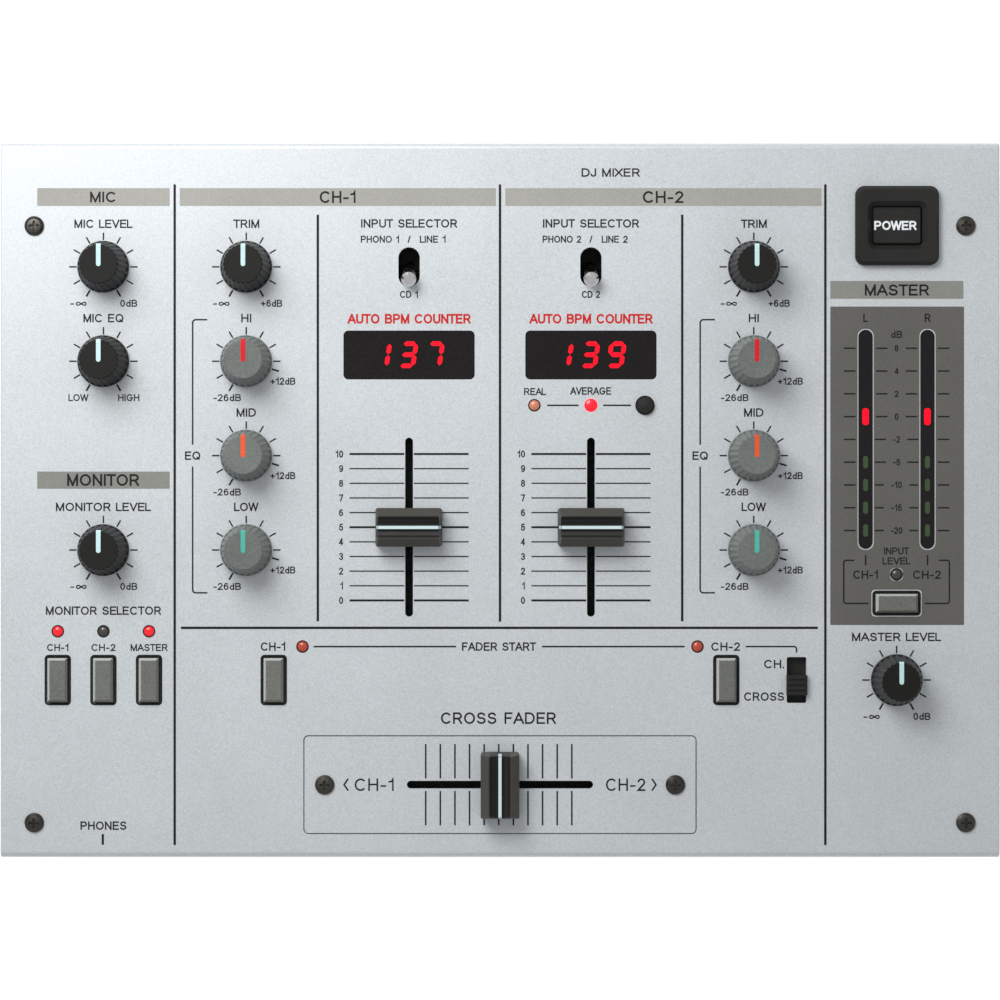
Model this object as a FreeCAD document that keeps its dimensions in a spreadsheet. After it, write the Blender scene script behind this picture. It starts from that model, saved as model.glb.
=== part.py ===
import FreeCAD, Part
import math
import os
import re

import Sketcher
from FreeCAD import Placement, Rotation, Vector

# A compact two-channel DJ mixer that stands on a table.
# X runs to the right, Y to the rear and Z up. The origin is on the table, under the middle of the
# top panel.

doc = FreeCAD.newDocument("dj_mixer")
sheet = doc.addObject("Spreadsheet::Sheet", "dims")

CELLS = (
    # Case and top panel.
    ("panel_length", 320.0),
    ("panel_depth", 229.0),
    ("panel_thickness", 3.0),
    ("panel_top", 92.0),
    ("lip_thickness", 2.0),
    ("lip_drop", 15.0),
    ("foot_height", 8.0),
    ("foot_radius", 9.0),
    ("foot_column", 135.0),
    ("foot_row", 92.0),
    ("sheet_metal", 1.2),
    ("case_half_width", 158.8),
    ("case_half_depth", 112.3),
    ("end_panel_sheet", 1.5),
    ("end_panel_return", 14.3),
    ("rear_panel_face", 102.5),
    ("tab_width", 13.1),
    ("tab_length", 16.0),
    ("vent_width", 5.0),
    ("vent_height", 26.0),
    ("vent_pitch", 11.0),
    # Columns and rows of the controls on the top panel.
    ("mic_column", 126.9),
    ("eq_column", 81.2),
    ("fader_column", 29.1),
    ("row_trim", 74.6),
    ("row_high", 44.4),
    ("row_mid", 14.2),
    ("row_low", -16.0),
    ("row_buttons", -57.6),
    ("row_monitor_led", -42.0),
    ("row_start_led", -46.9),
    ("row_tempo", 30.3),
    ("row_display", 46.4),
    ("row_fader", -8.7),
    ("row_meter", 19.4),
    ("row_input_led", -23.8),
    ("row_input_button", -33.0),
    ("crossfader_row", -91.1),
    ("monitor_pitch", 14.6),
    ("start_button_column", 72.4),
    ("start_led_column", 63.2),
    ("real_led_column", 11.0),
    ("tempo_button_column", 46.4),
    ("meter_offset", 9.9),
    ("power_row", 87.7),
    ("assign_column", 94.9),
    ("screw_column", 149.0),
    ("screw_rear_row", 87.7),
    ("screw_front_row", -103.2),
    ("plate_screw_column", 56.1),
    # Knobs, shafts and rotary potentiometers.
    ("knob_base_radius", 8.3),
    ("knob_top_radius", 6.4),
    ("knob_height", 15.0),
    ("knob_gap", 0.8),
    ("knob_cavity_radius", 6.3),
    ("knob_cavity_top", 5.0),
    ("knob_bore_depth", 11.5),
    ("knob_skirt", 2.6),
    ("flute_radius", 1.2),
    ("flute_depth", 0.3),
    ("shaft_radius", 3.0),
    ("bushing_radius", 3.5),
    ("bushing_height", 3.0),
    ("running_gap", 0.06),
    ("pot_radius", 8.0),
    ("pot_height", 7.0),
    ("nut_flats", 9.0),
    ("nut_height", 2.0),
    # Control board, hung below the panel.
    ("board_drop", 16.0),
    ("board_thickness", 1.6),
    # Slide potentiometers.
    ("fader_slot_length", 57.3),
    ("fader_slot_width", 2.5),
    ("crossfader_slot_length", 59.6),
    ("cap_width", 21.3),
    ("cap_length", 12.3),
    ("cap_gap", 1.5),
    ("cap_shoulder", 7.5),
    ("cap_ridge", 11.0),
    ("cap_ridge_offset", 3.6),
    ("cap_line_height", 10.3),
    ("cap_line_half", 0.7),
    ("cap_end_taper", 1.2),
    ("cap_corner", 0.9),
    ("socket_depth", 6.0),
    ("blade_thickness", 1.6),
    ("blade_width", 6.0),
    ("frame_length", 68.0),
    ("frame_width", 13.0),
    ("frame_height", 10.0),
    ("frame_wall", 0.8),
    ("rail_radius", 1.0),
    ("rail_offset", 3.0),
    ("channel_rail_drop", 11.0),
    ("crossfader_rail_drop", 6.5),
    ("carriage_width", 9.0),
    ("carriage_length", 8.0),
    ("carriage_height", 4.0),
    # Crossfader plate, let into the panel.
    ("plate_length", 125.1),
    ("plate_depth", 30.9),
    ("plate_thickness", 1.5),
    ("plate_corner", 1.3),
    ("plate_gap", 0.4),
    ("plate_window_length", 76.0),
    ("plate_window_depth", 20.0),
    # Input selector toggles.
    ("selector_slot_length", 12.6),
    ("selector_slot_width", 6.85),
    ("selector_pivot_drop", 8.0),
    ("selector_lean", 18.0),
    ("lever_length", 14.6),
    ("lever_tip_radius", 2.4),
    ("lever_neck_radius", 1.4),
    ("lever_tail", 3.0),
    ("trunnion_radius", 1.0),
    ("trunnion_length", 11.0),
    ("housing_width", 13.0),
    ("housing_length", 16.0),
    ("housing_hollow_width", 7.8),
    ("housing_hollow_length", 13.6),
    ("housing_hollow_depth", 10.0),
    # Push buttons.
    ("button_width", 6.3),
    ("button_length", 14.0),
    ("button_gap", 0.75),
    ("opening_corner", 1.0),
    ("button_height", 2.2),
    ("input_button_width", 13.4),
    ("input_button_length", 5.9),
    ("flange_margin", 0.5),
    ("stem_width", 3.4),
    ("plunger_radius", 1.7),
    ("tempo_button_radius", 2.8),
    ("switch_size", 6.4),
    ("switch_height", 5.0),
    # Power button and bezel.
    ("bezel_width", 26.7),
    ("bezel_depth", 25.3),
    ("bezel_height", 3.2),
    ("bezel_corner", 2.9),
    ("power_width", 15.6),
    ("power_depth", 12.0),
    ("power_face", 2.0),
    ("power_cap_depth", 6.0),
    ("power_stem_size", 6.0),
    ("power_switch_drop", 9.5),
    ("power_switch_width", 14.0),
    ("power_switch_length", 12.0),
    # Fader start assign slide switch.
    ("assign_slot_width", 6.3),
    ("assign_slot_length", 14.7),
    ("assign_travel", 3.2),
    ("assign_corner", 0.6),
    ("assign_cap_length", 6.4),
    ("assign_cap_top", 2.4),
    ("assign_grip_pitch", 1.7),
    ("assign_switch_drop", 5.6),
    ("assign_switch_width", 9.0),
    ("assign_switch_length", 20.0),
    # Displays, meters and lamps.
    ("display_width", 42.0),
    ("display_depth", 15.65),
    ("display_corner", 1.6),
    ("window_thickness", 1.5),
    ("window_recess", 0.2),
    ("window_gap", 0.05),
    ("meter_length", 70.2),
    ("meter_width", 4.65),
    ("meter_led_pitch", 7.29),
    ("meter_led_width", 2.1),
    ("meter_led_length", 5.4),
    ("lamp_radius", 1.5),
    ("lamp_hole_radius", 1.9),
    ("lamp_rise", 0.6),
    ("lead_spacing", 1.27),
    ("lead_size", 0.5),
    # Screws.
    ("screw_head_radius", 3.1),
    ("screw_head_height", 1.5),
    ("screw_radius", 1.5),
    ("screw_hole_radius", 1.6),
    ("screw_length", 6.0),
    ("case_screw_head_height", 1.1),
    # Rear connections.
    ("phono_shell_radius", 4.15),
    ("phono_bore_radius", 3.45),
    ("phono_length", 10.5),
    ("phono_pin_radius", 1.6),
    ("phono_row_left", 56.0),
    ("phono_row_right", 38.0),
    ("slider_row", 69.5),
    ("slider_travel", 3.2),
    ("slider_nub_width", 4.0),
    ("slider_nub_height", 3.9),
    ("slider_nub_reach", 4.4),
    ("slider_switch_width", 14.0),
    ("slider_switch_height", 8.0),
    ("slider_switch_depth", 10.0),
    ("phono_block_width", 11.0),
    ("phono_block_depth", 12.0),
    ("phono_block_margin", 7.0),
    ("large_jack_width", 15.0),
    ("small_jack_width", 9.0),
    ("small_jack_depth", 14.0),
    ("control_nose_length", 1.5),
    ("jack_column", 127.0),
    ("jack_row", 50.0),
    ("jack_bore_radius", 3.25),
    ("jack_nose_radius", 5.2),
    ("jack_nose_length", 2.1),
    ("jack_depth", 24.0),
    ("control_bore_radius", 1.8),
    ("control_nose_radius", 3.0),
    ("control_row", 44.0),
    ("inlet_column", 122.0),
    ("inlet_row", 30.0),
    ("inlet_width", 16.2),
    ("inlet_height", 9.2),
    ("inlet_pin_radius", 1.15),
    ("inlet_pin_offset", 4.3),
    ("inlet_pin_length", 11.0),
    ("inlet_cavity_depth", 14.0),
    ("inlet_flange", 2.0),
    ("inlet_flange_margin", 8.0),
    ("ground_row", 47.0),
    ("ground_stud_radius", 2.0),
    ("ground_stud_length", 9.0),
    ("thumb_radius", 5.0),
    ("thumb_thickness", 5.0),
    # Boards and power supply.
    ("control_board_length", 296.0),
    ("control_board_depth", 200.0),
    ("control_board_row", -6.0),
    ("pillar_radius", 3.0),
    ("pillar_height", 6.0),
    ("power_board_column", 20.0),
    ("power_board_row", 42.0),
    ("power_board_length", 80.0),
    ("power_board_depth", 60.0),
    ("capacitor_row", 56.0),
    ("capacitor_radius", 6.3),
    ("capacitor_height", 22.0),
    ("heat_sink_row", 26.0),
    ("heat_sink_length", 50.0),
    ("heat_sink_height", 18.0),
    ("heat_fin_pitch", 9.0),
    ("heat_fin_depth", 8.0),
    ("transformer_column", 108.0),
    ("transformer_row", 30.0),
    ("transformer_foot_length", 72.0),
    ("transformer_foot_depth", 30.0),
    ("transformer_core_length", 50.0),
    ("transformer_core_depth", 22.0),
    ("transformer_core_height", 40.0),
    ("transformer_coil_length", 36.0),
    ("transformer_coil_depth", 40.0),
    ("transformer_coil_height", 27.0),
)


def write_cells():
    """Put the driving dimensions in the sheet, one cell and one alias each."""
    for index, (alias, number) in enumerate(CELLS):
        cell = f"A{index + 1}"
        sheet.set(cell, str(number))
        sheet.setAlias(cell, alias)
    doc.recompute()


def cells(formula):
    """A formula in which each alias is written the way the expression engine reads it."""
    return re.sub(r"\b([a-z]+(?:_[a-z]+)+)\b", r"dims.\1", str(formula))


def value(formula):
    """The number that a formula gives now."""
    return float(sheet.evalExpression(cells(formula)))


def bind(thing, **formulas):
    """Bind properties to formulas of the sheet's cells."""
    for path, formula in formulas.items():
        thing.setExpression(path, cells(formula))


def place(thing, x="0", y="0", z="0", axis=None, angle="0"):
    """Bind a sub-part's place, and its turn about an axis in degrees."""
    if axis is not None:
        thing.Placement = Placement(Vector(0, 0, 0), Rotation(axis, 1))
        thing.setExpression("Placement.Rotation.Angle", cells(angle))
    thing.setExpression("Placement.Base.x", cells(x))
    thing.setExpression("Placement.Base.y", cells(y))
    thing.setExpression("Placement.Base.z", cells(z))
    return thing


# Sketches.

def new_body(name):
    return doc.addObject("PartDesign::Body", name)


def origin_feature(body, role):
    return next(feature for feature in body.Origin.OriginFeatures if feature.Role == role)


def sketch_on(body, name, role="XY_Plane", offset="0"):
    """A sketch on one of the body's own origin planes, moved along the plane's normal."""
    sketch = body.newObject("Sketcher::SketchObject", name)
    sketch.AttachmentSupport = [(origin_feature(body, role), "")]
    sketch.MapMode = "FlatFace"
    sketch.setExpression("AttachmentOffset.Base.z", cells(offset))
    return sketch


def pin_vertex(sketch, geometry, vertex, x, y):
    """Fix a vertex by its distances from the sketch's origin."""
    for kind, formula in (("DistanceX", x), ("DistanceY", y)):
        constraint = Sketcher.Constraint(kind, -1, 1, geometry, vertex, value(formula))
        index = sketch.addConstraint(constraint)
        sketch.setExpression(f"Constraints[{index}]", cells(formula))


def set_radius(sketch, geometry, radius):
    index = sketch.addConstraint(Sketcher.Constraint("Radius", geometry, value(radius)))
    sketch.setExpression(f"Constraints[{index}]", cells(radius))


def circle(sketch, x, y, radius):
    centre = Vector(value(x), value(y), 0)
    geometry = sketch.addGeometry(Part.Circle(centre, Vector(0, 0, 1), value(radius)))
    pin_vertex(sketch, geometry, 3, x, y)
    set_radius(sketch, geometry, radius)


def outline(sketch, corners):
    """A closed run of straight lines through the corners."""
    points = [Vector(value(x), value(y), 0) for x, y in corners]
    lines = []
    for start, end in zip(points, points[1:] + points[:1]):
        lines.append(sketch.addGeometry(Part.LineSegment(start, end)))
    for index, line in enumerate(lines):
        following = lines[(index + 1) % len(lines)]
        sketch.addConstraint(Sketcher.Constraint("Coincident", line, 2, following, 1))
        pin_vertex(sketch, line, 1, *corners[index])


def rectangle(sketch, x, y, width, depth):
    """A rectangle about a centre."""
    half_width = f"({width}) / 2"
    half_depth = f"({depth}) / 2"
    outline(sketch, (
        (f"{x} - {half_width}", f"{y} - {half_depth}"),
        (f"{x} + {half_width}", f"{y} - {half_depth}"),
        (f"{x} + {half_width}", f"{y} + {half_depth}"),
        (f"{x} - {half_width}", f"{y} + {half_depth}"),
    ))


def tangent_loop(sketch, arcs):
    """Join arcs, given counter-clockwise, with lines that leave each one along its tangent."""
    ends = [(sketch.Geometry[arc].StartPoint, sketch.Geometry[arc].EndPoint) for arc in arcs]
    for index, arc in enumerate(arcs):
        following = (index + 1) % len(arcs)
        line = sketch.addGeometry(Part.LineSegment(ends[index][1], ends[following][0]))
        sketch.addConstraint(Sketcher.Constraint("Tangent", arc, 2, line, 1))
        sketch.addConstraint(Sketcher.Constraint("Tangent", line, 2, arcs[following], 1))


def corner_arc(sketch, x, y, radius, start, end):
    """An arc about a fixed centre, between two angles in degrees."""
    centre = Vector(value(x), value(y), 0)
    base = Part.Circle(centre, Vector(0, 0, 1), value(radius))
    arc = sketch.addGeometry(Part.ArcOfCircle(base, math.radians(start), math.radians(end)))
    pin_vertex(sketch, arc, 3, x, y)
    set_radius(sketch, arc, radius)
    return arc


def rounded_rectangle(sketch, x, y, width, depth, radius):
    signs = ((1, 1), (-1, 1), (-1, -1), (1, -1))
    arcs = []
    for quarter, (sign_x, sign_y) in enumerate(signs):
        centre_x = f"{x} + {sign_x} * (({width}) / 2 - ({radius}))"
        centre_y = f"{y} + {sign_y} * (({depth}) / 2 - ({radius}))"
        arcs.append(corner_arc(sketch, centre_x, centre_y, radius, 90 * quarter, 90 * quarter + 90))
    tangent_loop(sketch, arcs)


def slot(sketch, x, y, width, length, along_x=False):
    """A slot with round ends, of overall width and length, along the sketch's Y or X."""
    radius = f"({width}) / 2"
    reach = f"(({length}) - ({width})) / 2"
    if along_x:
        arcs = (
            corner_arc(sketch, f"{x} + {reach}", y, radius, -90, 90),
            corner_arc(sketch, f"{x} - {reach}", y, radius, 90, 270),
        )
    else:
        arcs = (
            corner_arc(sketch, x, f"{y} + {reach}", radius, 0, 180),
            corner_arc(sketch, x, f"{y} - {reach}", radius, 180, 360),
        )
    tangent_loop(sketch, arcs)


# Features.

def pad(body, sketch, length, reverse=False):
    feature = body.newObject("PartDesign::Pad", f"{sketch.Name}_pad")
    feature.Profile = sketch
    feature.Reversed = reverse
    bind(feature, Length=length)
    doc.recompute()
    return feature


def pocket(body, sketch, depth=None, reverse=False):
    """Cut a sketch against its plane's normal, right through when no depth is given."""
    before = body.Shape.Volume
    feature = body.newObject("PartDesign::Pocket", f"{sketch.Name}_pocket")
    feature.Profile = sketch
    feature.Reversed = reverse
    if depth is None:
        feature.Type = "ThroughAll"
    else:
        bind(feature, Length=depth)
    doc.recompute()
    if feature.Shape.isNull() or feature.Shape.Volume > before - 0.01:
        raise RuntimeError(f"{feature.Name} cuts nothing")
    return feature


def revolve(body, sketch):
    """Turn a half-section once round the sketch's vertical axis."""
    feature = body.newObject("PartDesign::Revolution", f"{sketch.Name}_turned")
    feature.Profile = sketch
    feature.ReferenceAxis = (sketch, ["V_Axis"])
    feature.Angle = 360
    doc.recompute()
    return feature


def dress(body, kind, size, chosen):
    """Fillet or chamfer the edges of the body's tip that a test picks."""
    base = body.Tip
    names = []
    for index, edge in enumerate(base.Shape.Edges):
        if chosen(edge.BoundBox):
            names.append(f"Edge{index + 1}")
    if not names:
        raise RuntimeError(f"no edge to dress on {base.Name}")
    feature = body.newObject(f"PartDesign::{kind}", f"{base.Name}_{kind.lower()}")
    feature.Base = (base, names)
    if kind == "Fillet":
        bind(feature, Radius=size)
    else:
        bind(feature, Size=size)
    doc.recompute()
    return feature


def at_height(height):
    """A test for edges that lie level at a height."""
    level = value(height)
    return lambda box: abs(box.ZMin - level) < 1e-4 and abs(box.ZMax - level) < 1e-4


def upright(box):
    """A test for edges that stand along Z."""
    return box.XLength < 1e-4 and box.YLength < 1e-4


def around(body, count):
    """Repeat the tip feature round the body's Z axis."""
    tip = body.Tip
    pattern = body.newObject("PartDesign::PolarPattern", f"{tip.Name}_pattern")
    pattern.Originals = [tip]
    pattern.Axis = (origin_feature(body, "Z_Axis"), [""])
    pattern.Angle = 360
    pattern.Occurrences = count
    body.Tip = pattern
    doc.recompute()


# Sub-parts.

SUBPARTS = []


def subpart(thing, label):
    """Name a finished sub-part and list it for export."""
    thing.Label = label
    SUBPARTS.append(thing)
    return thing


def copy_at(master, name, **where):
    """A placed copy of a master piece, for use inside a group."""
    link = doc.addObject("App::Link", name)
    link.LinkedObject = master
    return place(link, **where)


def group(label, copies):
    """One sub-part that holds several separate solids."""
    bundle = doc.addObject("Part::Compound", label)
    bundle.Links = copies
    return subpart(bundle, label)


def repeat(label, master, places):
    """A sub-part made of copies of one piece, one at each place."""
    copies = []
    for index, where in enumerate(places):
        copies.append(copy_at(master, f"{label}_{index + 1}", **where))
    return group(label, copies)


def master_block(name, width, depth, bottom, top):
    """A body with a rectangular block about the Z axis, between two heights."""
    body = new_body(name)
    sketch = sketch_on(body, f"{name}_block", offset=bottom)
    rectangle(sketch, "0", "0", width, depth)
    pad(body, sketch, f"({top}) - ({bottom})")
    return body


# Places of the controls, as formulas of the sheet's cells.

LEFT_RIGHT = (("1", "-"), ("2", ""))

KNOBS = [
    ("mic_level_knob", "-mic_column", "row_trim"),
    ("mic_eq_knob", "-mic_column", "row_high"),
    ("monitor_level_knob", "-mic_column", "row_low"),
    ("master_level_knob", "mic_column", "row_buttons"),
]
for channel, side in LEFT_RIGHT:
    for band, row in (("trim", "row_trim"), ("high", "row_high"), ("mid", "row_mid"), ("low", "row_low")):
        KNOBS.append((f"{band}_knob_{channel}", f"{side}eq_column", row))

UPRIGHT_BUTTONS = (
    ("monitor_button_1", "-mic_column - monitor_pitch"),
    ("monitor_button_2", "-mic_column"),
    ("monitor_button_master", "-mic_column + monitor_pitch"),
    ("fader_start_button_1", "-start_button_column"),
    ("fader_start_button_2", "start_button_column"),
)

LAMPS = (
    ("-mic_column - monitor_pitch", "row_monitor_led"),
    ("-mic_column", "row_monitor_led"),
    ("-mic_column + monitor_pitch", "row_monitor_led"),
    ("real_led_column", "row_tempo"),
    ("fader_column", "row_tempo"),
    ("-start_led_column", "row_start_led"),
    ("start_led_column", "row_start_led"),
    ("mic_column", "row_input_led"),
)

PANEL_SCREWS = [(f"{side}screw_column", row) for _, side in LEFT_RIGHT
                for row in ("screw_rear_row", "screw_front_row")]
PLATE_SCREWS = [(f"{side}plate_screw_column", "crossfader_row") for _, side in LEFT_RIGHT]

METERS = ("mic_column - meter_offset", "mic_column + meter_offset")
METER_LEDS = 9

CASE_SCREW_ROWS = ("-case_half_depth + 8", "rear_panel_face - 8")
CASE_SCREW_HEIGHTS = ("foot_height + 16", "foot_height + 62")

PHONO_COLUMNS = ("-40", "-22", "22", "40", "72", "90")
PHONO_SLIDER_COLUMNS = (("1", "-40"), ("2", "22"))
CONTROL_COLUMNS = ("-80", "-66")
PHONO_INNER_FACE = "rear_panel_face - end_panel_sheet"


# Top panel and crossfader plate.

def make_top_panel():
    """The folded sheet on top: a plate with a lip turned down at the front and the rear."""
    body = new_body("top_panel")
    half = "panel_depth / 2"
    under = "panel_top - panel_thickness"
    lip = "panel_top - lip_drop"
    profile = sketch_on(body, "panel_profile", "YZ_Plane", "-panel_length / 2")
    outline(profile, (
        (f"-{half}", lip),
        (f"-{half} + lip_thickness", lip),
        (f"-{half} + lip_thickness", under),
        (f"{half} - lip_thickness", under),
        (f"{half} - lip_thickness", lip),
        (f"{half}", lip),
        (f"{half}", "panel_top"),
        (f"-{half}", "panel_top"),
    ))
    pad(body, profile, "panel_length")
    top = value("panel_top")
    edge_y = value("panel_depth / 2")
    edge_x = value("panel_length / 2")
    dress(body, "Fillet", "2",
          lambda box: box.ZMin > top - 1e-4 and abs(abs(box.Center.y) - edge_y) < 1e-4)
    dress(body, "Fillet", "0.6",
          lambda box: box.ZMax > top - 1e-4 and abs(abs(box.Center.x) - edge_x) < 1e-4
          and box.YLength > edge_y)

    round_holes = sketch_on(body, "panel_round_holes", offset="panel_top")
    for _, x, y in KNOBS:
        circle(round_holes, x, y, "bushing_radius + 0.2")
    for x, y in PANEL_SCREWS:
        circle(round_holes, x, y, "screw_hole_radius")
    pocket(body, round_holes)

    lamp_holes = sketch_on(body, "panel_lamp_holes", offset="panel_top")
    for x, y in LAMPS:
        circle(lamp_holes, x, y, "lamp_hole_radius")
    circle(lamp_holes, "tempo_button_column", "row_tempo", "tempo_button_radius + 0.3")
    pocket(body, lamp_holes)

    slots = sketch_on(body, "panel_slots", offset="panel_top")
    for _, side in LEFT_RIGHT:
        x = f"{side}fader_column"
        slot(slots, x, "row_fader", "fader_slot_width", "fader_slot_length")
        slot(slots, x, "row_trim", "selector_slot_width", "selector_slot_length")
        rounded_rectangle(slots, x, "row_display", "display_width", "display_depth", "display_corner")
    for x in METERS:
        slot(slots, x, "row_meter", "meter_width", "meter_length")
    pocket(body, slots)

    openings = sketch_on(body, "panel_button_openings", offset="panel_top")
    for _, x in UPRIGHT_BUTTONS:
        rounded_rectangle(openings, x, "row_buttons", "button_width + 2 * button_gap",
                          "button_length + 2 * button_gap", "opening_corner")
    rounded_rectangle(openings, "mic_column", "row_input_button", "input_button_width + 2 * button_gap",
                      "input_button_length + 2 * button_gap", "opening_corner")
    rounded_rectangle(openings, "assign_column", "row_buttons", "assign_slot_width",
                      "assign_slot_length", "assign_corner")
    rectangle(openings, "mic_column", "power_row", "power_width + 4.4", "power_depth + 4.4")
    pocket(body, openings)

    recess = sketch_on(body, "crossfader_recess", offset="panel_top")
    rounded_rectangle(recess, "0", "crossfader_row", "plate_length + 2 * plate_gap",
                      "plate_depth + 2 * plate_gap", "plate_corner + plate_gap")
    pocket(body, recess, "plate_thickness")
    window = sketch_on(body, "crossfader_window", offset="panel_top")
    rectangle(window, "0", "crossfader_row", "plate_window_length", "plate_window_depth")
    for x, y in PLATE_SCREWS:
        circle(window, x, y, "screw_hole_radius")
    pocket(body, window)
    subpart(body, "top_panel")


def make_crossfader_plate():
    """The removable plate that carries the crossfader, flush with the panel."""
    body = new_body("crossfader_plate")
    edge = sketch_on(body, "plate_outline", offset="panel_top - plate_thickness")
    rounded_rectangle(edge, "0", "crossfader_row", "plate_length", "plate_depth", "plate_corner")
    pad(body, edge, "plate_thickness")
    cuts = sketch_on(body, "plate_cuts", offset="panel_top")
    slot(cuts, "0", "crossfader_row", "fader_slot_width", "crossfader_slot_length", along_x=True)
    for x, y in PLATE_SCREWS:
        circle(cuts, x, y, "screw_hole_radius")
    pocket(body, cuts)
    subpart(body, "crossfader_plate")


# Case.

def make_bottom_case():
    """Floor and side walls folded from one sheet, with vents and four tabs for the panel's screws."""
    body = new_body("bottom_case")
    wall_top = "panel_top - panel_thickness"
    floor_top = "foot_height + sheet_metal"
    inner = "case_half_width - sheet_metal"
    profile = sketch_on(body, "case_profile", "XZ_Plane", "-case_half_depth")
    outline(profile, (
        ("-case_half_width", "foot_height"),
        ("case_half_width", "foot_height"),
        ("case_half_width", wall_top),
        (inner, wall_top),
        (inner, floor_top),
        (f"-({inner})", floor_top),
        (f"-({inner})", wall_top),
        ("-case_half_width", wall_top),
    ))
    pad(body, profile, "2 * case_half_depth")
    bottom = value("foot_height")
    dress(body, "Fillet", "1.1", lambda box: box.ZMax < bottom + 1e-4 and box.YLength > 100)

    tabs = sketch_on(body, "case_tabs", offset=f"{wall_top} - sheet_metal")
    for x, y in PANEL_SCREWS:
        sign = "-" if x.startswith("-") else ""
        rectangle(tabs, f"{sign}({inner} - tab_width / 2)", y, "tab_width", "tab_length")
    pad(body, tabs, "sheet_metal")
    tab_holes = sketch_on(body, "case_tab_holes", offset=wall_top)
    for x, y in PANEL_SCREWS:
        circle(tab_holes, x, y, "screw_hole_radius")
    pocket(body, tab_holes, "2 * sheet_metal")

    vents = sketch_on(body, "case_vents", "YZ_Plane", "case_half_width")
    for index in range(6):
        slot(vents, f"{index} * vent_pitch + 20", "foot_height + 40", "vent_width", "vent_height")
    for y in CASE_SCREW_ROWS:
        for z in CASE_SCREW_HEIGHTS:
            circle(vents, y, z, "screw_hole_radius")
    pocket(body, vents)

    pillars = sketch_on(body, "case_pillars", offset=floor_top)
    for x in ("-12", "52"):
        for y in ("20", "64"):
            circle(pillars, x, y, "pillar_radius")
    pad(body, pillars, "pillar_height")
    subpart(body, "bottom_case")


END_PANEL_BOTTOM = "foot_height + sheet_metal"
END_PANEL_HEIGHT = "panel_top - panel_thickness - foot_height - 2 * sheet_metal - 0.1"
END_PANEL_SIDE = "(case_half_width - sheet_metal - 0.1)"


def end_panel(name, face, inward):
    """The upright sheet of a front or rear panel.

    face is the outer face's Y, and inward is the sign of the way into the case.
    """
    body = new_body(name)
    inner_face = f"{face} {inward} end_panel_sheet"
    profile = sketch_on(body, f"{name}_profile", offset=END_PANEL_BOTTOM)
    outline(profile, (
        (f"-{END_PANEL_SIDE}", face),
        (END_PANEL_SIDE, face),
        (END_PANEL_SIDE, inner_face),
        (f"-{END_PANEL_SIDE}", inner_face),
    ))
    pad(body, profile, END_PANEL_HEIGHT)
    return body


def end_flanges(name, face, inward, row):
    """The two flanges welded behind an end panel, with the holes for the case screws."""
    flanges = []
    for side, sign in (("left", "-"), ("right", "")):
        body = new_body(f"{name}_{side}_flange")
        outer = f"{sign}{END_PANEL_SIDE}"
        inner = f"{sign}({END_PANEL_SIDE} - end_panel_sheet)"
        profile = sketch_on(body, f"{name}_{side}_profile", offset=END_PANEL_BOTTOM)
        outline(profile, (
            (outer, f"{face} {inward} end_panel_sheet"),
            (outer, f"{face} {inward} end_panel_return"),
            (inner, f"{face} {inward} end_panel_return"),
            (inner, f"{face} {inward} end_panel_sheet"),
        ))
        pad(body, profile, END_PANEL_HEIGHT)
        holes = sketch_on(body, f"{name}_{side}_holes", "YZ_Plane", f"{sign}case_half_width")
        for z in CASE_SCREW_HEIGHTS:
            circle(holes, row, z, "screw_hole_radius")
        pocket(body, holes, reverse=bool(sign))
        flanges.append(body)
    return flanges


def make_front_panel():
    face = "-case_half_depth"
    body = end_panel("front_sheet", face, "+")
    hole = sketch_on(body, "front_jack_hole", "XZ_Plane", "case_half_depth")
    circle(hole, "-jack_column", "jack_row", "jack_nose_radius + 0.1")
    pocket(body, hole, "end_panel_sheet + 1")
    group("front_panel", [body, *end_flanges("front", face, "+", CASE_SCREW_ROWS[0])])


def make_rear_panel():
    """The connector panel, set back under the top panel, with its welded ground stud."""
    body = end_panel("rear_sheet", "rear_panel_face", "-")
    face = "-rear_panel_face"
    round_holes = sketch_on(body, "rear_round_holes", "XZ_Plane", face)
    for x in PHONO_COLUMNS:
        for z in ("phono_row_left", "phono_row_right"):
            circle(round_holes, x, z, "phono_shell_radius + 0.25")
    for x in CONTROL_COLUMNS:
        circle(round_holes, x, "control_row", "control_nose_radius + 0.1")
    circle(round_holes, "-jack_column", "jack_row", "jack_nose_radius + 0.1")
    pocket(body, round_holes, "end_panel_sheet + 1", reverse=True)
    windows = sketch_on(body, "rear_windows", "XZ_Plane", face)
    for _, x in PHONO_SLIDER_COLUMNS:
        rectangle(windows, x, "slider_row", "8", "4.4")
    rounded_rectangle(windows, "inlet_column", "inlet_row", "inlet_width + 2.6", "inlet_height + 2.6", "2")
    pocket(body, windows, "end_panel_sheet + 1", reverse=True)
    stud = sketch_on(body, "ground_stud", "XZ_Plane", face)
    circle(stud, "0", "ground_row", "ground_stud_radius")
    pad(body, stud, "ground_stud_length", reverse=True)
    group("rear_panel", [body, *end_flanges("rear", "rear_panel_face", "-", CASE_SCREW_ROWS[1])])


def make_feet():
    master = new_body("foot")
    section = sketch_on(master, "foot_section", "XZ_Plane")
    outline(section, (
        ("0", "3"), ("3.5", "3"), ("3.5", "0"), ("foot_radius - 1.4", "0"),
        ("foot_radius - 0.6", "0.8"), ("foot_radius", "foot_height"), ("0", "foot_height"),
    ))
    revolve(master, section)
    places = [{"x": f"{x}foot_column", "y": f"{y}foot_row"} for x in ("-", "") for y in ("-", "")]
    repeat("feet", master, places)


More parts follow.
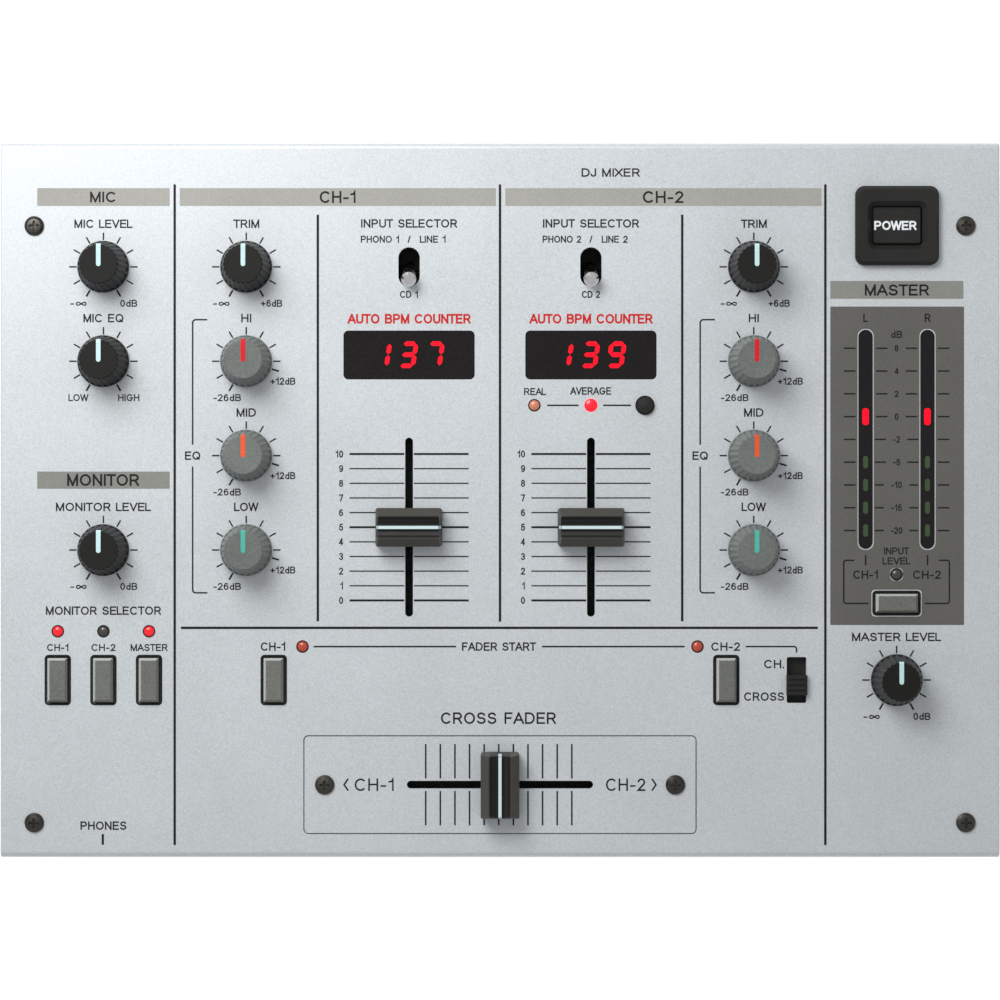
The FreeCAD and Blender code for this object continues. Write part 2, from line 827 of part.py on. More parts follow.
def screw_master(name, head_height):
    """A pan-head screw with a cross recess; its head rests on Z 0."""
    body = new_body(name)
    section = sketch_on(body, f"{name}_section", "XZ_Plane")
    outline(section, (
        ("0", "-screw_length"), ("screw_radius", "-screw_length"), ("screw_radius", "0"),
        ("screw_head_radius", "0"), ("screw_head_radius", f"{head_height} * 0.4"),
        ("screw_head_radius * 0.7", f"{head_height} * 0.9"), ("screw_head_radius * 0.4", head_height),
        ("0", head_height),
    ))
    revolve(body, section)
    for index, (width, depth) in enumerate((("3.2", "0.7"), ("0.7", "3.2"))):
        recess = sketch_on(body, f"{name}_recess_{index + 1}", offset=head_height)
        rectangle(recess, "0", "0", width, depth)
        pocket(body, recess, f"{head_height} * 0.8")
    return body


def make_screws():
    head = screw_master("panel_screw", "screw_head_height")
    repeat("panel_screws", head,
           [{"x": x, "y": y, "z": "panel_top"} for x, y in PANEL_SCREWS + PLATE_SCREWS])
    low_head = screw_master("case_screw", "case_screw_head_height")
    places = []
    for side, turn in (("-", "-90"), ("", "90")):
        for y in CASE_SCREW_ROWS:
            for z in CASE_SCREW_HEIGHTS:
                places.append({"x": f"{side}case_half_width", "y": y, "z": z,
                               "axis": Vector(0, 1, 0), "angle": turn})
    repeat("case_screws", low_head, places)


# Rotary controls.

KNOB_FLUTES = 24


def knob_master():
    """A tapered knob, fluted above a plain skirt and hollow below; Z 0 is the panel's surface."""
    body = new_body("knob_cap")
    section = sketch_on(body, "knob_section", "XZ_Plane")
    outline(section, (
        ("0", "knob_bore_depth"),
        ("shaft_radius + 0.02", "knob_bore_depth"),
        ("shaft_radius + 0.02", "knob_cavity_top"),
        ("knob_cavity_radius", "knob_cavity_top"),
        ("knob_base_radius - 1.2", "knob_gap"),
        ("knob_base_radius", "knob_gap"),
        ("knob_top_radius", "knob_height - 0.5"),
        ("knob_top_radius - 0.5", "knob_height"),
        ("0", "knob_height"),
    ))
    revolve(body, section)
    slope = "(knob_base_radius - knob_top_radius) / (knob_height - 0.5 - knob_gap)"
    flute = body.newObject("PartDesign::SubtractiveCylinder", "knob_flute")
    flute.AttachmentSupport = [(origin_feature(body, "XZ_Plane"), "")]
    flute.MapMode = "FlatFace"
    bind(flute, Radius="flute_radius", Height="knob_height")
    lean = Rotation(Vector(0, 0, 1), value(f"atan({slope})"))
    half_step = Rotation(Vector(0, 1, 0), 180 / KNOB_FLUTES)
    turned = half_step.multiply(lean).multiply(Rotation(Vector(1, 0, 0), -90))
    cone_radius = f"knob_base_radius - (knob_skirt - knob_gap) * {slope}"
    reach = value(f"{cone_radius} + flute_radius - flute_depth")
    flute.AttachmentOffset = Placement(half_step.multVec(Vector(reach, value("knob_skirt"), 0)), turned)
    doc.recompute()
    around(body, KNOB_FLUTES)
    return body



def make_knobs():
    """Each knob turns with its potentiometer's shaft: two solids in one sub-part."""
    cap = knob_master()
    shaft = doc.addObject("Part::Cylinder", "knob_shaft")
    bind(shaft, Radius="shaft_radius", Height="board_drop - pot_height + 1.9 + knob_bore_depth - 0.1")
    for label, x, y in KNOBS:
        shaft_bottom = "panel_top - board_drop + pot_height - 1.9"
        group(label, [
            copy_at(cap, f"{label}_cap", x=x, y=y, z="panel_top"),
            copy_at(shaft, f"{label}_shaft", x=x, y=y, z=shaft_bottom),
        ])


def make_pots():
    """Potentiometer bodies with threaded bushings through the panel, and their nuts."""
    body = new_body("pot_body")
    section = sketch_on(body, "pot_section", "XZ_Plane")
    bore = "shaft_radius + running_gap"
    outline(section, (
        ("0", "-board_drop"), ("pot_radius", "-board_drop"),
        ("pot_radius", "-board_drop + pot_height"), ("bushing_radius", "-board_drop + pot_height"),
        ("bushing_radius", "bushing_height"), (bore, "bushing_height"),
        (bore, "-board_drop + pot_height - 2"), ("0", "-board_drop + pot_height - 2"),
    ))
    revolve(body, section)
    places = [{"x": x, "y": y, "z": "panel_top"} for _, x, y in KNOBS]
    repeat("pot_bodies", body, places)

    hexagon = doc.addObject("Part::Prism", "nut_hexagon")
    hexagon.Polygon = 6
    bind(hexagon, Circumradius="nut_flats / sqrt(3)", Height="nut_height")
    hole = doc.addObject("Part::Cylinder", "nut_hole")
    bind(hole, Radius="bushing_radius + 0.02", Height="nut_height")
    nut = doc.addObject("Part::Cut", "nut")
    nut.Base = hexagon
    nut.Tool = hole
    repeat("pot_nuts", nut, places)


# Slide controls.

def cap_master():
    """A fader cap with a raised centre line between two scoops; it travels along Y over Z 0."""
    body = new_body("fader_cap")
    profile = sketch_on(body, "cap_profile", "YZ_Plane", "-cap_width / 2")
    half = "cap_length / 2"
    line = "cap_line_half"
    right_side = (
        (half, "cap_gap"),
        (half, "cap_shoulder"),
        ("cap_ridge_offset", "cap_ridge"),
        ("cap_ridge_offset * 0.7", "cap_ridge - 1.0"),
        ("cap_line_half + 0.5", "cap_ridge - 1.5"),
        (f"{line} + 0.1", "cap_ridge - 1.5"),
        (line, "cap_line_height"),
    )
    left_side = [(f"-({y})", z) for y, z in reversed(right_side)]
    outline(profile, right_side + tuple(left_side))
    pad(body, profile, "cap_width")
    ends = sketch_on(body, "cap_end_slopes", "XZ_Plane", f"-({half}) - 1")
    for sign in ("", "-"):
        outline(ends, (
            (f"{sign}(cap_width / 2)", "cap_ridge * 0.3"),
            (f"{sign}(cap_width / 2 + 1)", "cap_ridge * 0.3"),
            (f"{sign}(cap_width / 2 + 1)", "cap_ridge + 1"),
            (f"{sign}(cap_width / 2 - cap_end_taper)", "cap_ridge + 1"),
        ))
    pocket(body, ends, "cap_length + 2", reverse=True)
    corners = sketch_on(body, "cap_corners", offset="cap_ridge + 1")
    rectangle(corners, "0", "0", "cap_width + 2", "cap_length + 2")
    rounded_rectangle(corners, "0", "0", "cap_width", "cap_length", "cap_corner")
    pocket(body, corners)
    socket = sketch_on(body, "cap_socket", offset="cap_gap")
    rectangle(socket, "0", "0", "blade_thickness + 0.06", "blade_width + 0.06")
    pocket(body, socket, "socket_depth", reverse=True)
    return body


def carriage(name, rail_drop):
    """The block that slides on the rails, with the blade that carries the cap."""
    body = new_body(name)
    rail = f"-{rail_drop}"
    block = sketch_on(body, f"{name}_block", offset=f"{rail} - carriage_height / 2")
    rectangle(block, "0", "0", "carriage_width", "carriage_length")
    pad(body, block, "carriage_height")
    bores = sketch_on(body, f"{name}_bores", "XZ_Plane", "-carriage_length / 2")
    for sign in ("-", ""):
        circle(bores, f"{sign}rail_offset", rail, "rail_radius + running_gap")
    pocket(body, bores, reverse=True)
    blade = sketch_on(body, f"{name}_blade", offset=f"{rail} + carriage_height / 2")
    rectangle(blade, "0", "0", "blade_thickness", "blade_width")
    pad(body, blade, f"{rail_drop} - carriage_height / 2 + cap_gap + socket_depth - 0.1")
    return body


def frame_master():
    """The pressed can of a slide potentiometer, open below; the rails lie at Z 0."""
    body = master_block("fader_frame", "frame_width", "frame_length",
                        "-frame_height / 2", "frame_height / 2")
    hollow = sketch_on(body, "frame_hollow", offset="-frame_height / 2")
    rectangle(hollow, "0", "0", "frame_width - 2 * frame_wall", "frame_length - 2 * frame_wall")
    pocket(body, hollow, "frame_height - frame_wall", reverse=True)
    opening = sketch_on(body, "frame_opening", offset="frame_height / 2")
    rectangle(opening, "0", "0", "4", "frame_length - 8")
    pocket(body, opening, "frame_wall * 2")
    return body


def make_faders():
    cap = cap_master()
    channel_carriage = carriage("channel_carriage", "channel_rail_drop")
    cross_carriage = carriage("cross_carriage", "crossfader_rail_drop")
    sites = []
    for channel, side in LEFT_RIGHT:
        upright_site = {"x": f"{side}fader_column", "y": "row_fader"}
        sites.append((f"channel_fader_cap_{channel}", f"channel_fader_carriage_{channel}",
                      channel_carriage, upright_site, "channel_rail_drop"))
    turned_site = {"x": "0", "y": "crossfader_row", "axis": Vector(0, 0, 1), "angle": "90"}
    sites.append(("crossfader_cap", "crossfader_carriage",
                  cross_carriage, turned_site, "crossfader_rail_drop"))

    frame = frame_master()
    rail = doc.addObject("Part::Cylinder", "fader_rail")
    bind(rail, Radius="rail_radius", Height="frame_length - 2 * frame_wall")
    rail.Placement = Placement(Vector(0, 0, 0), Rotation(Vector(1, 0, 0), -90))
    frames = []
    rails = []
    for cap_label, carriage_label, carriage_body, site, drop in sites:
        repeat(cap_label, cap, [dict(site, z="panel_top")])
        repeat(carriage_label, carriage_body, [dict(site, z="panel_top")])
        frames.append(dict(site, z=f"panel_top - {drop}"))
        for sign in ("-", ""):
            rails.append(rail_place(site, sign, f"panel_top - {drop}"))
    repeat("fader_frames", frame, frames)
    repeat("fader_rails", rail, rails)


def rail_place(site, sign, z):
    """Where one rail's end sits, and how the rail is turned along its fader's travel."""
    half = "(frame_length / 2 - frame_wall)"
    if "angle" in site:
        return {"x": f"-{half}", "y": f"{site['y']} {sign or '+'} rail_offset", "z": z,
                "axis": Vector(0, 1, 0), "angle": "90"}
    return {"x": f"{site['x']} {sign or '+'} rail_offset", "y": f"{site['y']} - {half}", "z": z,
            "axis": Vector(1, 0, 0), "angle": "-90"}


# Input selector toggles.

def make_selectors():
    """Toggle levers that lean to the front, and the switch bodies that hold their trunnions."""
    lever = new_body("selector_lever")
    section = sketch_on(lever, "lever_section", "XZ_Plane")
    outline(section, (
        ("0", "-lever_tail"), ("lever_neck_radius", "-lever_tail"), ("lever_neck_radius", "2"),
        ("lever_tip_radius - 0.4", "4.5"), ("lever_tip_radius", "lever_length - 0.8"),
        ("lever_tip_radius - 0.75", "lever_length"), ("0", "lever_length"),
    ))
    revolve(lever, section)
    trunnion = sketch_on(lever, "lever_trunnion", "YZ_Plane", "-trunnion_length / 2")
    circle(trunnion, "0", "0", "trunnion_radius")
    pad(lever, trunnion, "trunnion_length")

    housing_top = "selector_pivot_drop - panel_thickness"
    housing = master_block("selector_housing", "housing_width", "housing_length",
                           "-board_drop + selector_pivot_drop", housing_top)
    hollow = sketch_on(housing, "housing_hollow", offset=housing_top)
    rectangle(hollow, "0", "0", "housing_hollow_width", "housing_hollow_length")
    pocket(housing, hollow, "housing_hollow_depth")
    bearing = sketch_on(housing, "housing_bearing", "YZ_Plane", "housing_width / 2")
    circle(bearing, "0", "0", "trunnion_radius + running_gap")
    pocket(housing, bearing)

    pivot = "panel_top - selector_pivot_drop"
    for channel, side in LEFT_RIGHT:
        label = f"input_selector_lever_{channel}"
        repeat(label, lever, [{"x": f"{side}fader_column", "y": "row_trim", "z": pivot,
                               "axis": Vector(1, 0, 0), "angle": "selector_lean"}])
    repeat("selector_housings", housing,
           [{"x": f"{side}fader_column", "y": "row_trim", "z": pivot} for _, side in LEFT_RIGHT])


# Push buttons and slide switches. Z 0 of each master is the panel's surface.

UNDERSIDE = "-panel_thickness"
SWITCH_TOP = "-board_drop + switch_height"


def push_button(name, width, length):
    """A chamfered cap, the flange that keeps it under the panel, and the stem and plunger below."""
    body = master_block(name, width, length, f"{UNDERSIDE} - 0.1", "button_height")
    dress(body, "Chamfer", "0.7", at_height("button_height"))
    flange = sketch_on(body, f"{name}_flange", offset=f"{UNDERSIDE} - 0.1")
    margin = "2 * (button_gap + flange_margin)"
    rectangle(flange, "0", "0", f"{width} + {margin}", f"{length} + {margin}")
    pad(body, flange, "1.9", reverse=True)
    stem = sketch_on(body, f"{name}_stem", offset=f"{UNDERSIDE} - 2")
    rectangle(stem, "0", "0", "stem_width", "stem_width")
    pad(body, stem, f"{UNDERSIDE} - 2 - ({SWITCH_TOP}) - 1.1", reverse=True)
    plunger = sketch_on(body, f"{name}_plunger", offset=f"{SWITCH_TOP} + 1.1")
    circle(plunger, "0", "0", "plunger_radius")
    pad(body, plunger, "2.1", reverse=True)
    return body


def make_buttons():
    upright_cap = push_button("upright_button", "button_width", "button_length")
    for label, x in UPRIGHT_BUTTONS:
        repeat(label, upright_cap, [{"x": x, "y": "row_buttons", "z": "panel_top"}])
    level_cap = push_button("level_button", "input_button_width", "input_button_length")
    repeat("input_level_button", level_cap,
           [{"x": "mic_column", "y": "row_input_button", "z": "panel_top"}])

    round_cap = new_body("round_button")
    section = sketch_on(round_cap, "round_button_section", "XZ_Plane")
    outline(section, (
        ("0", f"{SWITCH_TOP} - 1"), ("plunger_radius", f"{SWITCH_TOP} - 1"),
        ("plunger_radius", f"{UNDERSIDE} - 2"), ("tempo_button_radius + 1", f"{UNDERSIDE} - 2"),
        ("tempo_button_radius + 1", f"{UNDERSIDE} - 0.1"), ("tempo_button_radius", f"{UNDERSIDE} - 0.1"),
        ("tempo_button_radius", "button_height - 0.9"),
        ("tempo_button_radius - 0.5", "button_height - 0.4"), ("0", "button_height - 0.2"),
    ))
    revolve(round_cap, section)
    repeat("tempo_mode_button", round_cap,
           [{"x": "tempo_button_column", "y": "row_tempo", "z": "panel_top"}])


def switch_housing():
    """A small push switch on the control board, with a bore for the button's plunger."""
    body = master_block("push_switch", "switch_size", "switch_size", "-board_drop", SWITCH_TOP)
    bore = sketch_on(body, "push_switch_bore", offset=SWITCH_TOP)
    circle(bore, "0", "0", "plunger_radius + 0.1")
    pocket(body, bore, "switch_height - 1.5")
    return body


def make_switch_housings():
    """Housings of the push switches, the power switch and the slide switches, in one sub-part."""
    push = switch_housing()
    spots = [(x, "row_buttons") for _, x in UPRIGHT_BUTTONS]
    spots += [("mic_column", "row_input_button"), ("tempo_button_column", "row_tempo")]
    copies = []
    for index, (x, y) in enumerate(spots):
        copies.append(copy_at(push, f"push_switch_{index + 1}", x=x, y=y, z="panel_top"))

    power = master_block("power_switch", "power_switch_width", "power_switch_length",
                         "-board_drop", "-power_switch_drop")
    well = sketch_on(power, "power_switch_well", offset="-power_switch_drop")
    rectangle(well, "0", "0", "power_stem_size + 0.4", "power_stem_size + 0.4")
    pocket(power, well, "5")
    copies.append(copy_at(power, "power_switch_1", x="mic_column", y="power_row", z="panel_top"))

    assign = master_block("assign_switch", "assign_switch_width", "assign_switch_length",
                          "-board_drop", "-assign_switch_drop")
    groove = sketch_on(assign, "assign_switch_groove", offset="-assign_switch_drop")
    rectangle(groove, "0", "0", "2.4", "8")
    pocket(assign, groove, "3")
    copies.append(copy_at(assign, "assign_switch_1", x="assign_column", y="row_buttons", z="panel_top"))

    selector = master_block("phono_switch", "slider_switch_width", "slider_switch_height",
                            "-slider_switch_depth", "0")
    channel = sketch_on(selector, "phono_switch_groove", offset="0")
    rectangle(channel, "0", "0", "8", "4.2")
    pocket(selector, channel, "2.5")
    for number, x in PHONO_SLIDER_COLUMNS:
        copies.append(copy_at(selector, f"phono_switch_{number}", x=x, y=PHONO_INNER_FACE, z="slider_row",
                              axis=Vector(1, 0, 0), angle="-90"))
    group("switch_housings", copies)


def make_power_button():
    """The power button, latched in, and the bevelled bezel round it."""
    button = master_block("power_cap", "power_width", "power_depth", "-power_cap_depth", "power_face")
    dress(button, "Fillet", "1", upright)
    dress(button, "Chamfer", "0.5", at_height("power_face"))
    stem = sketch_on(button, "power_stem", offset="-power_cap_depth")
    rectangle(stem, "0", "0", "power_stem_size", "power_stem_size")
    pad(button, stem, "6", reverse=True)
    centre = {"x": "mic_column", "y": "power_row", "z": "panel_top"}
    repeat("power_button", button, [centre])

    bezel = master_block("bezel", "bezel_width", "bezel_depth", "0", "bezel_height")
    dress(bezel, "Fillet", "bezel_corner", upright)
    dress(bezel, "Chamfer", "1.1", at_height("bezel_height"))
    skirt = sketch_on(bezel, "bezel_skirt", offset="0")
    rectangle(skirt, "0", "0", "power_width + 4", "power_depth + 4")
    pad(bezel, skirt, "panel_thickness - 0.1", reverse=True)
    well = sketch_on(bezel, "bezel_well", offset="bezel_height")
    rounded_rectangle(well, "0", "0", "power_width + 0.5", "power_depth + 0.5", "1.2")
    pocket(bezel, well)
    reach = value("power_width / 2 + 1")
    level = at_height("bezel_height")
    dress(bezel, "Chamfer", "1.5", lambda box: level(box) and box.XMax < reach and box.XMin > -reach)
    repeat("power_bezel", bezel, [centre])


def make_sliders():
    """The fader start assign slider, and the phono/line sliders on the rear panel."""
    cap = master_block("assign_cap", "assign_slot_width + 0.3", "assign_cap_length",
                       "0.15", "assign_cap_top")
    dress(cap, "Chamfer", "0.4", at_height("assign_cap_top"))
    grips = sketch_on(cap, "assign_grips", offset="assign_cap_top")
    for step in (-1, 0, 1):
        rectangle(grips, "0", f"{step} * assign_grip_pitch", "assign_slot_width - 1", "0.7")
    pocket(cap, grips, "0.5")
    for name, width, length, top, depth in (
        ("assign_neck", "4", "4", "0.15", "panel_thickness + 0.35"),
        ("assign_shield", "assign_switch_width - 0.6", "assign_slot_length + assign_travel + 0.8",
         f"{UNDERSIDE} - 0.2", "1"),
        ("assign_post", "2", "4", f"{UNDERSIDE} - 1.2", "3"),
    ):
        level = sketch_on(cap, name, offset=top)
        rectangle(level, "0", "0", width, length)
        pad(cap, level, depth, reverse=True)
    repeat("fader_assign_slider", cap,
           [{"x": "assign_column", "y": "row_buttons - assign_travel / 2", "z": "panel_top"}])

    nub = master_block("phono_nub", "slider_nub_width", "slider_nub_height", "-2.4", "slider_nub_reach")
    dress(nub, "Chamfer", "0.5", at_height("slider_nub_reach"))
    for number, x in PHONO_SLIDER_COLUMNS:
        repeat(f"phono_line_slider_{number}", nub,
               [{"x": f"{x} - slider_travel / 2", "y": PHONO_INNER_FACE, "z": "slider_row",
                 "axis": Vector(1, 0, 0), "angle": "-90"}])


# Displays, meters and lamps.

def make_windows():
    """Smoked windows of the tempo displays and the level meters."""
    display = new_body("display_window")
    underside = "-window_recess - window_thickness"
    sketch = sketch_on(display, "display_window_outline", offset=underside)
    rounded_rectangle(sketch, "0", "0", "display_width - 2 * window_gap",
                      "display_depth - 2 * window_gap", "display_corner - window_gap")
    pad(display, sketch, "window_thickness")
    meter = new_body("meter_lens")
    sketch = sketch_on(meter, "meter_lens_outline", offset=underside)
    slot(sketch, "0", "0", "meter_width - 2 * window_gap", "meter_length - 2 * window_gap")
    pad(meter, sketch, "window_thickness")
    copies = []
    for channel, side in LEFT_RIGHT:
        copies.append(copy_at(display, f"display_window_{channel}", x=f"{side}fader_column",
                              y="row_display", z="panel_top"))
    for index, x in enumerate(METERS):
        copies.append(copy_at(meter, f"meter_lens_{index + 1}", x=x, y="row_meter", z="panel_top"))
    group("display_windows", copies)


def make_display_modules():
    master = master_block("display_module", "display_width - 2", "display_depth - 2", "-board_drop",
                          "-window_recess - window_thickness")
    repeat("display_modules", master,
           [{"x": f"{side}fader_column", "y": "row_display", "z": "panel_top"} for _, side in LEFT_RIGHT])


def add_leads(body, bottom, along_x=True):
    """Two square wire leads from the control board up to a lamp's underside."""
    leads = sketch_on(body, f"{body.Name}_leads", offset="-board_drop")
    for sign in ("-", ""):
        spot = f"{sign}lead_spacing"
        x, y = (spot, "0") if along_x else ("0", spot)
        rectangle(leads, x, y, "lead_size", "lead_size")
    pad(body, leads, f"board_drop + ({bottom}) + 0.2")


def make_meter_leds():
    bottom = "-8"
    lamp = master_block("meter_lamp", "meter_led_width", "meter_led_length", bottom,
                        "-window_recess - window_thickness")
    add_leads(lamp, bottom, along_x=False)
    places = []
    for x in METERS:
        for index in range(METER_LEDS):
            step = index - METER_LEDS // 2
            places.append({"x": x, "y": f"row_meter + {step} * meter_led_pitch", "z": "panel_top"})
    repeat("meter_leds", lamp, places)


def make_indicator_leds():
    """Round lamps with domed tops that stand just proud of the panel."""
    lamp = new_body("lamp")
    section = sketch_on(lamp, "lamp_section", "XZ_Plane")
    outline(section, (
        ("0", "-5"), ("lamp_radius + 0.25", "-5"), ("lamp_radius + 0.25", "-4.2"),
        ("lamp_radius", "-4.2"), ("lamp_radius", "lamp_rise - lamp_radius"),
        ("lamp_radius * 0.87", "lamp_rise - lamp_radius / 2"),
        ("lamp_radius / 2", "lamp_rise - lamp_radius * 0.13"), ("0", "lamp_rise"),
    ))
    revolve(lamp, section)
    add_leads(lamp, "-5")
    repeat("indicator_leds", lamp, [{"x": x, "y": y, "z": "panel_top"} for x, y in LAMPS])


# Boards and power supply.

def make_boards():
    board = new_body("control_board")
    sketch = sketch_on(board, "control_board_outline", offset="panel_top - board_drop - board_thickness")
    rounded_rectangle(sketch, "0", "control_board_row", "control_board_length",
                      "control_board_depth", "2")
    pad(board, sketch, "board_thickness")
    subpart(board, "control_board")

    power = new_body("power_board")
    underside = "foot_height + sheet_metal + pillar_height"
    sketch = sketch_on(power, "power_board_outline", offset=underside)
    rectangle(sketch, "power_board_column", "power_board_row", "power_board_length", "power_board_depth")
    pad(power, sketch, "board_thickness")
    capacitors = sketch_on(power, "power_board_capacitors", offset=f"{underside} + board_thickness")
    for step in (0, 1):
        circle(capacitors, f"{step} * (2 * capacitor_radius + 3.4)", "capacitor_row", "capacitor_radius")
    pad(power, capacitors, "capacitor_height")
    sink = sketch_on(power, "power_board_heat_sink", offset=f"{underside} + board_thickness")
    rectangle(sink, "power_board_column", "heat_sink_row", "heat_sink_length", "3")
    for step in range(6):
        rectangle(sink, f"power_board_column + ({step} - 2.5) * heat_fin_pitch",
                  "heat_sink_row + 2.5 + heat_fin_depth / 2", "1.5", "heat_fin_depth")
    pad(power, sink, "heat_sink_height")
    subpart(power, "power_board")


def make_transformer():
    body = new_body("transformer")
    floor_top = "foot_height + sheet_metal"
    feet = sketch_on(body, "transformer_feet", offset=floor_top)
    centre = ("transformer_column", "transformer_row")
    rectangle(feet, *centre, "transformer_foot_length", "transformer_foot_depth")
    pad(body, feet, "1.5")
    core = sketch_on(body, "transformer_core", offset=f"{floor_top} + 1.5")
    rectangle(core, *centre, "transformer_core_length", "transformer_core_depth")
    pad(body, core, "transformer_core_height")
    coil = sketch_on(body, "transformer_coil", offset=f"{floor_top} + 8")
    rounded_rectangle(coil, *centre, "transformer_coil_length", "transformer_coil_depth", "5")
    pad(body, coil, "transformer_coil_height")
    subpart(body, "transformer")


# Connectors. Each master's Y 0 is the panel's inner face, and +Y is the way out.

def phono_parts():
    """Shells, inserts and housings of the twelve phono-type sockets."""
    shell = new_body("phono_shell")
    section = sketch_on(shell, "phono_shell_section", "XZ_Plane")
    outline(section, (
        ("0", "0"), ("phono_shell_radius + 0.2", "0"), ("phono_shell_radius + 0.2", "end_panel_sheet"),
        ("phono_shell_radius", "end_panel_sheet"), ("phono_shell_radius", "phono_length - 0.4"),
        ("phono_shell_radius - 0.4", "phono_length"), ("phono_bore_radius", "phono_length"),
        ("phono_bore_radius", "1"), ("0", "1"),
    ))
    revolve(shell, section)
    insert = new_body("phono_insert")
    section = sketch_on(insert, "phono_insert_section", "XZ_Plane")
    outline(section, (
        ("0", "1"), ("phono_bore_radius - 0.05", "1"), ("phono_bore_radius - 0.05", "phono_length - 1"),
        ("phono_pin_radius", "phono_length - 1"), ("phono_pin_radius", "3"), ("0", "3"),
    ))
    revolve(insert, section)
    housing = doc.addObject("Part::Box", "phono_housing")
    bind(housing, Length="phono_block_width", Width="phono_block_depth",
         Height="phono_row_left - phono_row_right + 2 * phono_block_margin")
    shells = []
    for x in PHONO_COLUMNS:
        for z in ("phono_row_left", "phono_row_right"):
            shells.append({"x": x, "y": PHONO_INNER_FACE, "z": z,
                           "axis": Vector(1, 0, 0), "angle": "-90"})
    repeat("phono_shells", shell, shells)
    repeat("phono_inserts", insert, shells)
    repeat("phono_housings", housing,
           [{"x": f"{x} - phono_block_width / 2", "y": f"{PHONO_INNER_FACE} - phono_block_depth",
             "z": "phono_row_right - phono_block_margin"} for x in PHONO_COLUMNS])


def jack_master(name, width, depth, nose_radius, nose_length, bore):
    """A jack socket: a block behind the panel with a round nose through it, bored from the nose."""
    body = new_body(name)
    block = sketch_on(body, f"{name}_block", "XZ_Plane")
    rectangle(block, "0", "0", width, width)
    pad(body, block, depth)
    nose = sketch_on(body, f"{name}_nose", "XZ_Plane")
    circle(nose, "0", "0", nose_radius)
    pad(body, nose, f"end_panel_sheet + {nose_length}", reverse=True)
    opening = sketch_on(body, f"{name}_bore", "XZ_Plane", f"-end_panel_sheet - {nose_length}")
    circle(opening, "0", "0", bore)
    pocket(body, opening, f"{depth} - 2 + {nose_length}", reverse=True)
    return body


def make_jacks():
    large = jack_master("large_jack", "large_jack_width", "jack_depth", "jack_nose_radius",
                        "jack_nose_length", "jack_bore_radius")
    front = {"x": "-jack_column", "y": "-case_half_depth + end_panel_sheet", "z": "jack_row",
             "axis": Vector(0, 0, 1), "angle": "180"}
    rear = {"x": "-jack_column", "y": PHONO_INNER_FACE, "z": "jack_row"}
    repeat("stereo_jacks", large, [front, rear])
    small = jack_master("small_jack", "small_jack_width", "small_jack_depth", "control_nose_radius",
                        "control_nose_length", "control_bore_radius")
    repeat("control_jacks", small, [{"x": x, "y": PHONO_INNER_FACE, "z": "control_row"}
                                    for x in CONTROL_COLUMNS])


def make_inlet():
    """The two-pin mains inlet, put in from outside; its flange rests on the rear panel."""
    body = new_body("mains_inlet")
    face = "-rear_panel_face"
    mouth = f"{face} - inlet_flange"
    shell = sketch_on(body, "inlet_shell", "XZ_Plane", mouth)
    rounded_rectangle(shell, "inlet_column", "inlet_row", "inlet_width + 2.4",
                      "inlet_height + 2.4", "1.9")
    pad(body, shell, "inlet_cavity_depth + 6")
    flange = sketch_on(body, "inlet_flange", "XZ_Plane", face)
    rounded_rectangle(flange, "inlet_column", "inlet_row", "inlet_width + inlet_flange_margin",
                      "inlet_height + inlet_flange_margin", "3")
    pad(body, flange, "inlet_flange", reverse=True)
    cavity = sketch_on(body, "inlet_cavity", "XZ_Plane", mouth)
    rounded_rectangle(cavity, "inlet_column", "inlet_row", "inlet_width",
                      "inlet_height", "inlet_height / 2 - 0.1")
    pocket(body, cavity, "inlet_cavity_depth", reverse=True)
    pins = sketch_on(body, "inlet_pins", "XZ_Plane", f"{mouth} + inlet_cavity_depth + 0.2")
    for sign in ("-", "+"):
        circle(pins, f"inlet_column {sign} inlet_pin_offset", "inlet_row", "inlet_pin_radius")
    pad(body, pins, "inlet_pin_length", reverse=True)
    subpart(body, "mains_inlet")


def make_thumbscrew():
    """The knurled nut on the rear panel's ground stud."""
    body = new_body("thumb_nut")
    disc = sketch_on(body, "thumb_disc", offset="0")
    circle(disc, "0", "0", "thumb_radius")
    pad(body, disc, "thumb_thickness")
    dress(body, "Chamfer", "0.5", at_height("thumb_thickness"))
    bore = sketch_on(body, "thumb_bore", offset="thumb_thickness")
    circle(bore, "0", "0", "ground_stud_radius + running_gap")
    pocket(body, bore)
    knurl = sketch_on(body, "thumb_knurl", offset="thumb_thickness")
    circle(knurl, "thumb_radius + 0.3", "0", "0.7")
    pocket(body, knurl)
    around(body, 20)
    repeat("ground_thumbscrew", body, [{"x": "0", "y": "rear_panel_face + 2.5", "z": "ground_row",
                                        "axis": Vector(1, 0, 0), "angle": "-90"}])


def check_document():
    """Stop if any object failed, or a sub-part's shape is empty or not valid."""
    for thing in doc.Objects:
        if "Invalid" in thing.State or "Error" in thing.State:
            raise RuntimeError(f"{thing.Name} failed: {thing.State}")
    for thing in SUBPARTS:
        shape = thing.Shape
        if shape.isNull() or not shape.isValid() or not shape.Solids:
            raise RuntimeError(f"{thing.Label} has no valid shape")


def write_parts():
    os.makedirs("parts", exist_ok=True)
    for thing in SUBPARTS:
        thing.Shape.exportStep(os.path.join("parts", f"{thing.Label}.step"))
    print(f"{len(SUBPARTS)} sub-parts written")


def main():
    write_cells()
    make_top_panel()
    make_crossfader_plate()
    make_bottom_case()
    make_front_panel()
    make_rear_panel()
    make_feet()
    make_screws()
    make_knobs()
    make_pots()
    make_faders()
    make_selectors()
    make_buttons()
    make_switch_housings()
    make_power_button()
    make_sliders()
    make_windows()
    make_display_modules()
    make_meter_leds()
    make_indicator_leds()
    make_boards()
    make_transformer()
    phono_parts()
    make_jacks()
    make_inlet()
    make_thumbscrew()
    doc.recompute()
    check_document()
    write_parts()


main()
